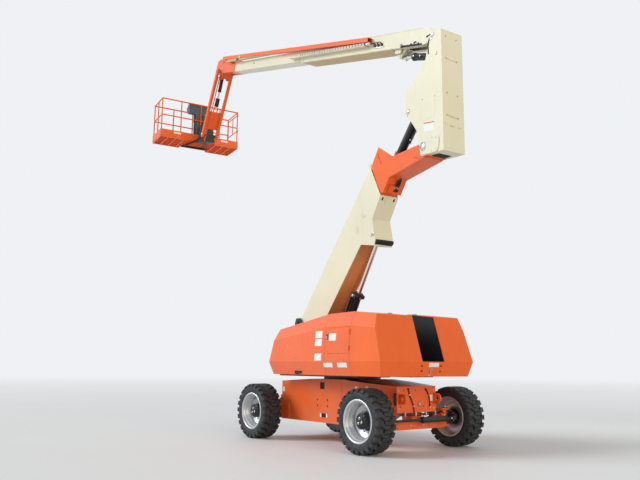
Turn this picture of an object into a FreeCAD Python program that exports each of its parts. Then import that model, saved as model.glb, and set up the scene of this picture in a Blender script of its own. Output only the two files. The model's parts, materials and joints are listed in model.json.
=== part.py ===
import FreeCAD, Part
import Sketcher
import math
import os
import re

V = FreeCAD.Vector

# Articulating boom lift: four-wheel chassis, turntable, two-stage tower, upright,
# telescoping main boom, jib and rotating work platform.
# +X points to the steered axle, +Y is the left side, +Z is up.
# The origin is on the ground under the slewing axis.

# Sizes: name, value in mm or degrees, what it measures
SIZES = (
    ("wheel_base", 3050, "between the axles"),
    ("overall_width", 2440, "across the outer tyre faces"),
    ("tyre_diameter", 1000, "over the lugs"),
    ("tyre_width", 385, "section width"),
    ("lug_count", 20, "tread lugs in each of a tyre's two rows"),
    ("lug_depth", 26, "tread lug height"),
    ("lug_thick", 48, "tread lug thickness round the tyre"),
    ("lug_slant", 9, "tread lug's ends off its middle, round the tyre"),
    ("lug_overlap", 22, "tread lugs past the tyre's middle"),
    ("rim_radius", 318, "bead seat"),
    ("rim_flange", 16, "flange above the bead seat"),
    ("rim_wall", 12, "rim metal"),
    ("disc_inset", 215, "wheel disc behind the outer rim edge"),
    ("hub_radius", 125, "drive hub"),
    ("hub_long", 150, "drive hub in front of the disc"),
    ("hub_cap_radius", 78, "hub cover"),
    ("spindle_radius", 90, "spindle behind the disc"),
    ("kingpin_inset", 55, "kingpin inside the tyre's inner face"),
    ("kingpin_radius", 32, "kingpin"),
    ("knuckle_high", 230, "knuckle barrel height"),
    ("knuckle_radius", 75, "knuckle barrel"),
    ("steer_arm_long", 210, "steering arm from the kingpin"),
    ("steer_barrel_right", 20, "steering cylinder to the right of the centre line"),
    ("steer_barrel_left", 590, "steering cylinder to the left of the centre line"),
    ("frame_tail", 1380, "chassis behind the slewing axis"),
    ("frame_nose", 1620, "chassis in front of the slewing axis"),
    ("frame_half", 600, "half width of the chassis"),
    ("frame_nose_half", 450, "half width of the chassis at its nose"),
    ("frame_bottom", 350, "ground clearance under the belly"),
    ("frame_nose_bottom", 600, "under the nose"),
    ("frame_taper", 900, "where the sides start to narrow"),
    ("nose_start", 760, "where the underside starts to level out"),
    ("deck_high", 1105, "chassis deck at the slewing ring"),
    ("deck_tail_high", 1055, "chassis deck at the tail"),
    ("deck_nose_high", 1015, "chassis deck at the nose"),
    ("deck_half", 480, "level part of the deck"),
    ("lug_eye_radius", 32, "tie-down eye"),
    ("lug_eye_edge", 80, "tie-down lug round its eye"),
    ("lug_plate", 30, "tie-down lug thickness"),
    ("lug_eye_side", 400, "tie-down lug from the centre line"),
    ("lug_eye_high", 820, "tie-down eye above the ground"),
    ("lug_eye_reach", 85, "eye in front of the end plate"),
    ("axle_box", 260, "axle beam section"),
    ("axle_inset", 20, "axle beam's end inside the kingpin"),
    ("yoke_plate", 30, "kingpin yoke plate"),
    ("seat_gap", 0.3, "gap between seated pieces"),
    ("ring_high", 50, "slewing ring"),
    ("ring_radius", 520, "slewing ring"),
    ("floor_thick", 30, "turntable floor plate"),
    ("floor_right", 880, "turntable floor to the right"),
    ("floor_left", 700, "turntable floor to the left"),
    ("floor_front", 1150, "turntable floor ahead of the axis"),
    ("floor_notch", 620, "start of the floor's opening for the tower"),
    ("swing_at_rest", -5.7, "turntable turned about Z"),
    ("slot_half", 225, "half width of the slot for the tower"),
    ("frame_plate", 20, "turntable side plates"),
    ("body_bottom", 1180, "underside of the covers"),
    ("body_crease", 1410, "widest line of the covers"),
    ("body_front", 1288, "covers ahead of the axis, at the crease"),
    ("body_tail", 2234, "counterweight behind the axis, at the crease"),
    ("body_right", 1048, "covers to the right of the axis"),
    ("body_left", 840, "covers to the left of the axis"),
    ("body_shell", 20, "cover thickness"),
    ("brow_back", 232, "front edge of the roof behind the front"),
    ("brow_high", 606, "front edge of the roof above the crease"),
    ("roof_high", 799, "roof above the crease"),
    ("hood_split", 664, "seam between hood and side cover"),
    ("weight_split", 1416, "seam between side cover and counterweight"),
    ("seam", 6, "gap between panels"),
    ("hood_edge", 290, "hood's inner edge from the centre line"),
    ("hood_hinge", 268, "hood's hinge from the centre line"),
    ("hood_hinge_drop", 16, "hood's hinge under the roof"),
    ("hinge_radius", 14, "hood hinge barrel"),
    ("hinge_pin", 8, "hood hinge pin"),
    ("door_long", 690, "control door along the cover"),
    ("door_high", 420, "control door up the cover"),
    ("door_low", 130, "control door above the crease"),
    ("door_rear", 1390, "control door's rear edge"),
    ("engine_front", 950, "engine ahead of the slewing axis"),
    ("engine_rear", 450, "engine behind the slewing axis"),
    ("engine_high", 620, "engine above the floor"),
    ("tank_front", 900, "tank ahead of the slewing axis"),
    ("tank_rear", 500, "tank behind the slewing axis"),
    ("tank_high", 560, "tank above the floor"),
    ("tower_pivot_back", 1600, "tower pivot ahead of the slewing axis"),
    ("tower_pivot_high", 2200, "tower pivot above the ground"),
    ("tower_angle", 47, "tower above level"),
    ("tower_half", 200, "half width of the tower"),
    ("tower_wall", 10, "tower plate"),
    ("tower_long", 3640, "outer tower from its pivot"),
    ("tower_deep", 700, "outer tower depth"),
    ("tower_floor", 595, "outer tower's bottom plate below the top line"),
    ("tower_eye_out", 2730, "cylinder pin along the tower"),
    ("tower_eye_down", 835, "cylinder pin below the tower's top line"),
    ("tower_foot_ahead", 653, "cylinder foot ahead of the slewing axis"),
    ("tower_foot_high", 1350, "cylinder foot above the ground"),
    ("fly_half", 180, "half width of the inner tower"),
    ("fly_wall", 10, "inner tower plate"),
    ("fly_top", 22, "inner tower below the top line"),
    ("fly_bottom", 575, "inner tower's underside below the top line"),
    ("fly_tail", 350, "inner tower's lower end from the pivot"),
    ("pad_gap", 0.4, "running gap of a wear pad"),
    ("elbow_ahead", 1003, "upright pin beyond the outer tower's end"),
    ("elbow_down", 1106, "upright pin below the tower's top line"),
    ("pin_radius", 40, "large pivot pins"),
    ("pin_gap", 0.5, "running gap round a pin"),
    ("eye_pin", 30, "tower cylinder's upper pin"),
    ("boss_radius", 92, "boss round a large pin"),
    ("stub_gap", 6, "gap beside an open rod eye"),
    ("upright_half", 225, "half width of the upright"),
    ("upright_plate", 12, "upright plate"),
    ("upright_rear", 482, "upright's rear face behind its lower pin"),
    ("boom_pivot_back", 281, "main boom pivot behind the lower pin"),
    ("boom_pivot_up", 1838, "main boom pivot above the lower pin"),
    ("level_foot_ahead", 376, "level cylinder pin ahead of the lower pin"),
    ("level_foot_up", 719, "level cylinder pin above the lower pin"),
    ("level_eye_back", 1530, "level rod pin before the upright pin, along the tower"),
    ("level_eye_down", 379, "level rod pin below the tower's top line"),
    ("boom_foot_back", 345, "boom cylinder foot behind the lower pin"),
    ("boom_foot_up", 1490, "boom cylinder foot above the lower pin"),
    ("boom_angle", 17.7, "main boom above level"),
    ("boom_half", 180, "half width of the main boom"),
    ("boom_wall", 10, "main boom plate"),
    ("boom_top", 165, "main boom above its pivot line"),
    ("boom_bottom", 130, "main boom below its pivot line"),
    ("boom_long", 4510, "outer boom from its pivot"),
    ("boom_pin", 32, "main boom pivot pin"),
    ("boom_boss", 60, "main boom pivot boss"),
    ("boom_eye_out", 1000, "boom cylinder pin along the boom"),
    ("boom_eye_down", 240, "boom cylinder pin below the pivot line"),
    ("boom_fly_half", 156, "half width of the inner boom"),
    ("boom_fly_wall", 8, "inner boom plate"),
    ("boom_fly_top", 150, "inner boom above the pivot line"),
    ("boom_fly_bottom", 85, "inner boom below the pivot line"),
    ("boom_fly_tail", 2050, "inner boom's tail from the pivot"),
    ("boom_fly_end", 8340, "inner boom's end from the pivot"),
    ("head_out", 9220, "jib knuckle pin along the boom"),
    ("head_up", 20, "jib knuckle pin above the pivot line"),
    ("head_half", 165, "half width of the boom head"),
    ("tube_side", 195, "push tube's inner face from the centre line"),
    ("tube_wide", 90, "push tube width"),
    ("tube_deep", 85, "push tube depth"),
    ("tube_wall", 6, "push tube metal"),
    ("tray_out", 1900, "cable tray's start along the boom"),
    ("tray_end", 4965, "cable tray's end along the boom"),
    ("jib_pin_back", 200, "jib pin ahead of the knuckle pin"),
    ("jib_pin_up", 20, "jib pin above the knuckle pin"),
    ("knuckle_pin", 25, "pins of the jib"),
    ("cheek_half", 130, "half width of the knuckle"),
    ("cheek_slot", 58, "half width of the slot for the jib cylinder"),
    ("jib_long", 1860, "jib between its pins"),
    ("jib_angle", -59, "jib above level"),
    ("jib_half", 215, "jib arms from the centre line"),
    ("jib_arm_thick", 60, "jib arm width"),
    ("jib_arm_deep", 110, "jib arm depth"),
    ("jib_boss", 68, "boss at the jib's ends"),
    ("jib_foot_out", 270, "jib cylinder foot ahead of the knuckle pin"),
    ("jib_foot_up", 120, "jib cylinder foot above the knuckle pin"),
    ("jib_eye_out", 1060, "jib cylinder pin along the jib"),
    ("jib_eye_up", 30, "jib cylinder pin above the jib's line"),
    ("link_drop", 170, "level link below the jib pins"),
    ("link_side", 152, "level link bars from the centre line"),
    ("rotator_out", 340, "rotator ahead of the jib's end pin"),
    ("rotator_radius", 85, "rotator housing"),
    ("rotator_top", 46, "rotator housing above the jib's end pin"),
    ("platform_turn", -2.1, "platform turned about Z"),
    ("platform_gap", 430, "platform edge ahead of the rotator"),
    ("platform_wide", 820, "platform floor along the boom"),
    ("platform_long", 2440, "platform floor across the boom"),
    ("platform_low", 60, "platform underside above the jib's end pin"),
    ("mount_arm_inset", 170, "arm's tip inside the platform's far edge"),
    ("platform_floor", 25, "platform floor"),
    ("rail_high", 1165, "top rail above the underside"),
    ("mid_rail_high", 640, "middle rail above the underside"),
    ("toe_high", 190, "toe board above the underside"),
    ("toe_thick", 6, "toe board"),
    ("rail_radius", 19, "guard rail tube"),
    ("gate_bar", 15, "gate tube"),
    ("tower_barrel_radius", 72, "tower cylinder barrel"),
    ("tower_rod_radius", 42, "tower cylinder rod"),
    ("level_barrel_radius", 75, "upright cylinder barrel"),
    ("level_rod_radius", 40, "upright cylinder rod"),
    ("boom_barrel_radius", 62, "boom cylinder barrel"),
    ("boom_rod_radius", 36, "boom cylinder rod"),
    ("jib_barrel_radius", 48, "jib cylinder barrel"),
    ("jib_rod_radius", 26, "jib cylinder rod"),
)

doc = FreeCAD.newDocument("articulating_boom_lift")
sheet = doc.addObject("Spreadsheet::Sheet", "Sizes")
for row, (name, value, meaning) in enumerate(SIZES, start=1):
    sheet.set("A%d" % row, meaning)
    sheet.set("B%d" % row, str(value))
    sheet.setAlias("B%d" % row, name)
doc.recompute()

NAMES = {name for name, value, meaning in SIZES}
# Names for what follows from the sizes
DERIVED = {
    "kingpin_offset": "overall_width / 2 - tyre_width - kingpin_inset",
    "axle_half": "kingpin_offset - axle_inset",
    "elbow_out": "tower_long + elbow_ahead",
    "level_eye_out": "elbow_out - level_eye_back",
}
NODES = []


def size(name):
    """The number in the named cell."""
    return float(sheet.get(name))


def cell(word):
    """What a name in an expression stands for."""
    name = word.group()
    if name in DERIVED:
        return "(" + cells(DERIVED[name]) + ")"
    return "Sizes." + name if name in NAMES else name


def cells(expression):
    """Point each size name in an expression to its cell."""
    return re.sub(r"[a-z][a-z_]*", cell, str(expression))


def bind(item, **expressions):
    """Tie properties of an object to the sheet."""
    for key, expression in expressions.items():
        item.setExpression(key, cells(expression))
    return item


def put(item, x, y, z, turn=None):
    """Place an object at a point given by expressions, with an optional turn."""
    item.Placement = FreeCAD.Placement(V(), turn or FreeCAD.Rotation())
    for axis, expression in zip("xyz", (x, y, z)):
        item.setExpression("Placement.Base." + axis, cells(expression))
    return item


def box(name, x, y, z):
    """A box between pairs of expressions along each axis."""
    item = doc.addObject("Part::Box", name)
    spans = {"Length": x, "Width": y, "Height": z}
    for key, (low, high) in spans.items():
        item.setExpression(key, cells("(%s) - (%s)" % (high, low)))
    return put(item, x[0], y[0], z[0])


TURNS = {
    "x": FreeCAD.Rotation(V(0, 1, 0), 90),
    "y": FreeCAD.Rotation(V(1, 0, 0), -90),
    "z": FreeCAD.Rotation(),
}


def cylinder(name, along, radius, start, end, at):
    """A cylinder along an axis from start to end; at holds the other two coordinates."""
    item = doc.addObject("Part::Cylinder", name)
    bind(item, Radius=radius, Height="(%s) - (%s)" % (end, start))
    place = dict(zip([axis for axis in "xyz" if axis != along], at))
    place[along] = start
    return put(item, place["x"], place["y"], place["z"], TURNS[along])


PLANES = {
    "xz": (FreeCAD.Rotation(V(1, 0, 0), 90), "y", V(0, 1, 0)),
    "xy": (FreeCAD.Rotation(), "z", V(0, 0, 1)),
    "yz": (FreeCAD.Rotation(V(1, 1, 1), 120), "x", V(1, 0, 0)),
}


def outline(name, plane, corners, offset="0"):
    """A closed sketch whose corners are pairs of expressions."""
    turn, normal, direction = PLANES[plane]
    sketch = doc.addObject("Sketcher::SketchObject", name)
    count = len(corners)
    around = [V(math.cos(2 * math.pi * i / count), math.sin(2 * math.pi * i / count), 0)
              for i in range(count)]
    for i in range(count):
        sketch.addGeometry(Part.LineSegment(around[i], around[(i + 1) % count]))
    ties = [Sketcher.Constraint("Coincident", i, 2, (i + 1) % count, 1) for i in range(count)]
    for i in range(count):
        ties.append(Sketcher.Constraint("DistanceX", -1, 1, i, 1, around[i].x))
        ties.append(Sketcher.Constraint("DistanceY", -1, 1, i, 1, around[i].y))
    sketch.addConstraint(ties)
    for i, (across, up) in enumerate(corners):
        sketch.setExpression("Constraints[%d]" % (count + 2 * i), cells(across))
        sketch.setExpression("Constraints[%d]" % (count + 2 * i + 1), cells(up))
    place = {"x": "0", "y": "0", "z": "0", normal: offset}
    return put(sketch, place["x"], place["y"], place["z"], turn)


def prism(name, plane, corners, start, end):
    """An outline in a plane extruded from start to end along the plane's normal."""
    sketch = outline(name + "_outline", plane, corners, start)
    item = doc.addObject("Part::Extrusion", name)
    item.Base = sketch
    item.DirMode = "Custom"
    item.Dir = PLANES[plane][2]
    item.Solid = True
    return bind(item, LengthFwd="(%s) - (%s)" % (end, start))


def fuse(name, *items):
    """One solid from several that touch."""
    item = doc.addObject("Part::MultiFuse", name)
    item.Shapes = list(items)
    item.Refine = True
    return item


def cut(name, base, *tools):
    """The base without the tools."""
    item = doc.addObject("Part::Cut", name)
    item.Base = base
    item.Tool = tools[0] if len(tools) == 1 else fuse(name + "_tools", *tools)
    item.Refine = True
    return item


def common(name, *items):
    """What all items share."""
    item = doc.addObject("Part::MultiCommon", name)
    item.Shapes = list(items)
    item.Refine = True
    return item


def group(name, *items):
    """Solids of one piece that don't touch."""
    item = doc.addObject("Part::Compound", name)
    item.Links = list(items)
    return item


def moved(name, frame, *items):
    """Pieces built round the origin of a frame, made one and set where the frame is."""
    item = fuse(name, *items) if len(items) > 1 else group(name, *items)
    item.Placement = frame
    return item


def node(item, label, frame=FreeCAD.Placement()):
    """Name a finished piece and set it in its frame."""
    item.Label = label
    item.Placement = frame
    NODES.append(item)
    return item


def both(expression):
    """The span from minus to plus an expression."""
    return ("-(%s)" % expression, expression)


def side_span(sign, low, high):
    """A span on the left (sign "") or mirrored to the right (sign "-")."""
    if sign:
        return ("-(%s)" % high, "-(%s)" % low)
    return (low, high)


SIDES = (("right", "-", -1), ("left", "", 1))


def shifted(frame, x, y, z, turn=FreeCAD.Rotation()):
    """A frame moved and turned inside another frame."""
    return frame.multiply(FreeCAD.Placement(V(x, y, z), turn))


def tilt(degrees, forward=True):
    """Turn so that local +X rises by some degrees, towards +X or towards -X."""
    if forward:
        return FreeCAD.Rotation(V(0, 1, 0), -degrees)
    return FreeCAD.Rotation(V(0, 1, 0), degrees).multiply(FreeCAD.Rotation(V(0, 0, 1), 180))


# Frames of the moving assemblies, each named after what it carries
ground_frame = FreeCAD.Placement()
turntable_frame = shifted(ground_frame, 0, 0, 0, FreeCAD.Rotation(V(0, 0, 1), size("swing_at_rest")))
tower_frame = shifted(
    turntable_frame, -size("tower_pivot_back"), 0, size("tower_pivot_high"), tilt(size("tower_angle"))
)
ELBOW_OUT = size("tower_long") + size("elbow_ahead")
upright_frame = shifted(
    tower_frame, ELBOW_OUT, 0, -size("elbow_down"), tilt(-size("tower_angle"))
)
boom_frame = shifted(
    upright_frame, size("boom_pivot_back"), 0, size("boom_pivot_up"), tilt(size("boom_angle"), False)
)
# The knuckle and the platform support stay level, with local +X away from the tower
knuckle_frame = shifted(boom_frame, size("head_out"), 0, size("head_up"), tilt(-size("boom_angle")))
jib_frame = shifted(
    knuckle_frame, size("jib_pin_back"), 0, size("jib_pin_up"), tilt(size("jib_angle"))
)
support_frame = shifted(jib_frame, size("jib_long"), 0, 0, tilt(-size("jib_angle")))
platform_frame = shifted(
    support_frame, size("rotator_out"), 0, 0, FreeCAD.Rotation(V(0, 0, 1), size("platform_turn"))
)


def aim(frame, start, end):
    """A frame at start, in the XZ plane of a frame, whose +X points to end."""
    rise = math.degrees(math.atan2(end[1] - start[1], end[0] - start[0]))
    return shifted(frame, start[0], 0, start[1], tilt(rise))


def local(frame, other, x, z):
    """The XZ coordinates in a frame of a point given in another frame."""
    point = frame.inverse().multVec(other.multVec(V(x, 0, z)))
    return (point.x, point.z)


def gap(start, end):
    """The distance between two XZ points."""
    return math.hypot(end[0] - start[0], end[1] - start[1])


# Both ends of each lifting cylinder, in the frame that its barrel hangs on
TOWER_FOOT = (-size("tower_foot_ahead"), size("tower_foot_high"))
TOWER_EYE = local(turntable_frame, tower_frame, size("tower_eye_out"), -size("tower_eye_down"))
LEVEL_FOOT = (-size("level_foot_ahead"), size("level_foot_up"))
LEVEL_EYE = local(
    upright_frame, tower_frame, ELBOW_OUT - size("level_eye_back"), -size("level_eye_down")
)
BOOM_FOOT = (size("boom_foot_back"), size("boom_foot_up"))
BOOM_EYE = local(upright_frame, boom_frame, size("boom_eye_out"), -size("boom_eye_down"))
JIB_FOOT = (size("jib_foot_out"), size("jib_foot_up"))
JIB_EYE = local(knuckle_frame, jib_frame, size("jib_eye_out"), size("jib_eye_up"))


# Chassis

def chassis():
    """Belly box that narrows to the nose, with windows and four tie-down lugs."""
    side = prism("chassis_side", "xz", (
        ("-frame_tail", "deck_tail_high"), ("-frame_tail", "frame_bottom"),
        ("frame_taper / 2", "frame_bottom"), ("nose_start", "frame_nose_bottom - 60"),
        ("frame_nose", "frame_nose_bottom"), ("frame_nose", "deck_nose_high"),
        ("deck_half", "deck_high"), ("-deck_half", "deck_high"),
    ), "-frame_half", "frame_half")
    plan = prism("chassis_plan", "xy", (
        ("-frame_tail", "-frame_half"), ("frame_taper", "-frame_half"),
        ("frame_nose", "-frame_nose_half"), ("frame_nose", "frame_nose_half"),
        ("frame_taper", "frame_half"), ("-frame_tail", "frame_half"),
    ), "frame_bottom - 10", "deck_high + 10")
    hull = common("chassis_hull", side, plan)
    windows = []
    for side_name, sign, way in SIDES:
        reach = side_span(sign, "frame_half - 60", "frame_half + 1")
        windows.append(box("deck_window_" + side_name, (-190, -60), reach,
                           ("deck_high - 175", "deck_high - 55")))
        windows.append(box("sill_window_" + side_name, (-140, -20), reach,
                           ("frame_bottom + 90", "frame_bottom + 160")))
    lugs = []
    eyes = []
    for end, face, x in (("nose", "frame_nose", "frame_nose + lug_eye_reach"),
                         ("tail", "-frame_tail", "-frame_tail - lug_eye_reach")):
        for side_name, sign, way in SIDES:
            tag = end + "_" + side_name
            low, high = side_span(sign, "lug_eye_side - lug_plate / 2", "lug_eye_side + lug_plate / 2")
            lugs.append(cylinder("lug_round_" + tag, "y", "lug_eye_edge", low, high,
                                 (x, "lug_eye_high")))
            reach = (face + " - 20", x) if end == "nose" else (x, face + " + 20")
            lugs.append(box("lug_root_" + tag, reach, (low, high),
                            ("lug_eye_high - lug_eye_edge", "lug_eye_high + lug_eye_edge")))
            eyes.append(cylinder("lug_eye_" + tag, "y", "lug_eye_radius", low + " - 5",
                                 high + " + 5", (x, "lug_eye_high")))
    body = fuse("chassis_body", hull, *lugs)
    return node(cut("chassis_cut", body, *(windows + eyes)), "chassis_frame")


def fixed_axle():
    """Box beam behind the belly with gussets to the frame's tail."""
    x_low = "-wheel_base / 2 - axle_box / 2"
    x_high = "-frame_tail - seat_gap"
    centre = "tyre_diameter / 2"
    beam = box("fixed_beam", (x_low, x_high), both("axle_half"),
               (centre + " - axle_box / 2", centre + " + axle_box / 2"))
    pieces = [beam]
    for side_name, sign, way in SIDES:
        low, high = side_span(sign, "axle_half - 180", "axle_half - 160")
        pieces.append(prism("fixed_gusset_" + side_name, "xz", (
            (x_high, centre + " + axle_box / 2 - 1"), (x_low, centre + " + axle_box / 2 - 1"),
            (x_low, centre + " + axle_box / 2"), (x_high, centre + " + axle_box"),
        ), low, high))
        low, high = side_span(sign, "axle_half - 5",
                              "overall_width / 2 - disc_inset - rim_wall - pin_gap")
        pieces.append(cylinder("fixed_spindle_" + side_name, "y", "spindle_radius", low, high,
                               ("-wheel_base / 2", centre)))
    return node(fuse("fixed_axle_body", *pieces), "fixed_axle")


def steer_axle():
    """Low box beam under the nose, a centre post and a yoke at each kingpin."""
    middle = "wheel_base / 2"
    centre = "tyre_diameter / 2"
    half_knuckle = "knuckle_high / 2 + pin_gap"
    slope = "frame_nose_bottom - 60 - seat_gap + 60 * (%s - nose_start) / (frame_nose - nose_start)"
    beam = box("steer_beam", (middle + " - 100", middle + " + 100"), both("axle_half - 120"),
               (centre + " - 165", centre + " - 25"))
    post = prism("steer_post", "xz", (
        (middle + " - 140", centre + " - 100"), ("frame_nose", centre + " - 100"),
        ("frame_nose", "frame_nose_bottom - seat_gap"),
        (middle + " - 140", slope % ("(" + middle + " - 140)")),
    ), "-110", "110")
    pieces = [beam, post]
    for side_name, sign, way in SIDES:
        low, high = side_span(sign, "axle_half - 180", "kingpin_offset - knuckle_radius - 15")
        pieces.append(box("yoke_web_" + side_name, (middle + " - 100", middle + " + 100"), (low, high),
                          (centre + " - " + half_knuckle.replace("+", "-") + " - yoke_plate",
                           centre + " + " + half_knuckle + " + yoke_plate")))
        low, high = side_span(sign, "axle_half - 180", "kingpin_offset")
        for level, z in (
            ("low", (centre + " - knuckle_high / 2 - pin_gap - yoke_plate",
                     centre + " - knuckle_high / 2 - pin_gap")),
            ("high", (centre + " + " + half_knuckle, centre + " + " + half_knuckle + " + yoke_plate")),
        ):
            pieces.append(box("yoke_arm_%s_%s" % (level, side_name),
                              (middle + " - knuckle_radius", middle + " + knuckle_radius"),
                              (low, high), z))
            pieces.append(cylinder("yoke_tip_%s_%s" % (level, side_name), "z", "knuckle_radius",
                                   z[0], z[1], (middle, sign + "kingpin_offset")))
        pieces.append(cylinder("kingpin_" + side_name, "z", "kingpin_radius",
                               centre + " - knuckle_high / 2 - yoke_plate - 9",
                               centre + " + knuckle_high / 2 + yoke_plate + 9",
                               (middle, sign + "kingpin_offset")))
    return node(fuse("steer_axle_body", *pieces), "steer_axle")


def knuckle(side_name, sign, way):
    """Barrel round the kingpin, spindle to the wheel and a steering arm."""
    middle = "wheel_base / 2"
    centre = "tyre_diameter / 2"
    barrel = cylinder("knuckle_barrel_" + side_name, "z", "knuckle_radius",
                      centre + " - knuckle_high / 2", centre + " + knuckle_high / 2",
                      (middle, sign + "kingpin_offset"))
    low, high = side_span(sign, "kingpin_offset",
                          "overall_width / 2 - disc_inset - rim_wall - pin_gap")
    spindle = cylinder("knuckle_spindle_" + side_name, "y", "spindle_radius", low, high,
                       (middle, centre))
    low, high = side_span(sign, "kingpin_offset - 25", "kingpin_offset + 25")
    arm = box("steer_arm_" + side_name, (middle, middle + " + steer_arm_long + 25"), (low, high),
              (centre + " + 20", centre + " + 60"))
    bore = cylinder("knuckle_bore_" + side_name, "z", "kingpin_radius + pin_gap",
                    centre + " - knuckle_high", centre + " + knuckle_high",
                    (middle, sign + "kingpin_offset"))
    eye = cylinder("steer_arm_eye_" + side_name, "z", "14", centre, centre + " + 80",
                   (middle + " + steer_arm_long", sign + "kingpin_offset"))
    body = fuse("knuckle_solid_" + side_name, barrel, spindle, arm)
    return node(cut("knuckle_cut_" + side_name, body, bore, eye), "knuckle_" + side_name)


TIE_X = "wheel_base / 2 + steer_arm_long"
TIE_Z = "tyre_diameter / 2 - 12"


def tie_rod():
    """Rod across the nose with an end under each steering arm."""
    pieces = [cylinder("tie_bar", "y", "20", "-kingpin_offset", "kingpin_offset", (TIE_X, TIE_Z))]
    for side_name, sign, way in SIDES:
        pieces.append(cylinder("tie_end_" + side_name, "z", "34", TIE_Z + " - 26", TIE_Z + " + 26",
                               (TIE_X, sign + "kingpin_offset")))
    return node(fuse("tie_rod_body", *pieces), "tie_rod")


def steer_cylinder():
    """Barrel round the tie rod, held to the axle beam by two brackets."""
    start, end = "-steer_barrel_right", "steer_barrel_left"
    barrel = cylinder("steer_barrel", "y", "46", start, end, (TIE_X, TIE_Z))
    bore = cylinder("steer_bore", "y", "20 + pin_gap", start + " - 10", end + " + 10", (TIE_X, TIE_Z))
    brackets = []
    for name, reach in (("inner", (start + " + 60", start + " + 100")),
                        ("outer", (end + " - 100", end + " - 60"))):
        brackets.append(box("steer_bracket_" + name, ("wheel_base / 2 + 100 + seat_gap", TIE_X),
                            reach, (TIE_Z + " - 40", TIE_Z + " - 16")))
    body = fuse("steer_cylinder_solid", barrel, *brackets)
    return node(cut("steer_cylinder_cut", body, bore), "steer_cylinder")


def ring_profile(name, points):
    """A solid of revolution about the wheel's axle; points are (along the axle, radius)."""
    corners = [V(radius, 0, across) for across, radius in points]
    face = Part.Face(Part.makePolygon(corners + corners[:1]))
    item = doc.addObject("Part::Feature", name)
    item.Shape = face.revolve(V(), V(0, 0, 1), 360)
    return item


def wheel_frame(x, side):
    """At a wheel's centre, with local +Z pointing outwards."""
    y = side * (size("overall_width") / 2 - size("tyre_width") / 2)
    turn = FreeCAD.Rotation(V(1, 0, 0), -90 * side)
    return shifted(ground_frame, x, y, size("tyre_diameter") / 2, turn)


def wheel_prism(points, deep):
    """A flat profile of (along the axle, height) points, as deep both ways round the wheel."""
    corners = [V(high, -deep, across) for across, high in points]
    return Part.Face(Part.makePolygon(corners + corners[:1])).extrude(V(0, 2 * deep, 0))


def tyre_shape():
    """Carcass of flat slices, each with a lug of one of the two rows."""
    half = size("tyre_width") / 2
    outer = size("tyre_diameter") / 2
    seat = size("rim_radius")
    base = outer - size("lug_depth")
    flank = (seat * 2 + base) / 3
    count = int(size("lug_count"))
    turn = 180.0 / count
    reach = outer * 1.1
    spread = reach * math.tan(math.radians(turn / 2))
    corners = [V(0, 0, -half), V(reach, -spread, -half), V(reach, spread, -half)]
    wedge = Part.Face(Part.makePolygon(corners + corners[:1])).extrude(V(0, 0, 2 * half))
    carcass = wheel_prism((
        (-half + 35, seat), (half - 35, seat), (half - 1, flank), (half - 16, base),
        (-half + 16, base), (-half + 1, flank),
    ), outer).common(wedge)
    side = wheel_prism((
        (-size("lug_overlap"), base - 20), (half - 40, base - 42), (half - 10, base - 42),
        (half, base - 16), (half - 30, outer), (-size("lug_overlap"), outer),
    ), outer)
    slant = size("lug_slant")
    thick = size("lug_thick") / 2
    inner = -size("lug_overlap")
    foot = [
        V(seat, -slant - thick, half), V(seat, slant - thick, inner),
        V(seat, slant + thick, inner), V(seat, -slant + thick, half),
    ]
    bar = Part.Face(Part.makePolygon(foot + foot[:1])).extrude(V(outer, 0, 0))
    lug = bar.common(side)
    rows = (carcass.fuse(lug), carcass.fuse(lug.mirror(V(), V(0, 0, 1))))
    slices = []
    for number in range(2 * count):
        item = rows[number % 2].copy()
        item.rotate(V(), V(0, 0, 1), number * turn)
        slices.append(item)
    return slices[0].multiFuse(slices[1:]).removeSplitter().Solids[0]


TYRE_SHAPE = tyre_shape()


def tyre(label, frame):
    """Tyre with two rows of tread lugs."""
    item = doc.addObject("Part::Feature", label + "_body")
    item.Shape = TYRE_SHAPE
    return node(item, label, frame)


def rim(label, frame):
    """Deep rim with flanges, a disc set well inside, and the drive hub."""
    half = size("tyre_width") / 2
    seat = size("rim_radius") - size("seat_gap")
    wall = size("rim_wall")
    disc = half - size("disc_inset")
    hub = size("hub_radius")
    cap = size("hub_cap_radius")
    front = disc + size("hub_long")
    points = (
        (disc - wall, 0), (disc - wall, seat - wall - 34), (disc - wall - 14, seat - wall - 12),
        (-half + 14, seat - wall), (-half + 14, seat), (half - 14, seat), (half - 14, seat - wall),
        (disc + 14, seat - wall - 12), (disc, seat - wall - 34), (disc, hub),
        (front - 45, hub), (front - 35, cap + 15), (front - 35, cap), (front, cap - 10), (front, 0),
    )
    return node(ring_profile(label + "_ring", points), label, frame)


# Turntable

def slew_ring():
    """Bearing ring between the deck and the turntable floor."""
    ring = cylinder("ring_disc", "z", "ring_radius", "deck_high + seat_gap",
                    "deck_high + ring_high - seat_gap", ("0", "0"))
    well = cylinder("ring_well", "z", "ring_radius - 140", "deck_high - 5",
                    "deck_high + ring_high + 5", ("0", "0"))
    return node(cut("slew_ring_cut", ring, well), "slew_ring")


def hood_slope():
    """The roof's rise from the brow to the seam, in degrees."""
    run = size("hood_split") + size("body_front") - size("brow_back")
    return math.degrees(math.atan2(size("roof_high") - size("brow_high"), run))


def hinge_frame(way):
    """At the front end of a hood's hinge: +X up the roof, +Y outwards on the left side."""
    return FreeCAD.Placement(
        V(-size("body_front") + size("brow_back"), way * size("hood_hinge"),
          size("body_crease") + size("brow_high") - size("hood_hinge_drop")),
        tilt(hood_slope()),
    )


HINGE_LONG = math.hypot(size("hood_split") + size("body_front") - size("brow_back"),
                        size("roof_high") - size("brow_high"))
# Where each hinge barrel starts along the hinge
HINGE_STARTS = (150, HINGE_LONG - 250)
BARREL_LONG = 100


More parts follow.
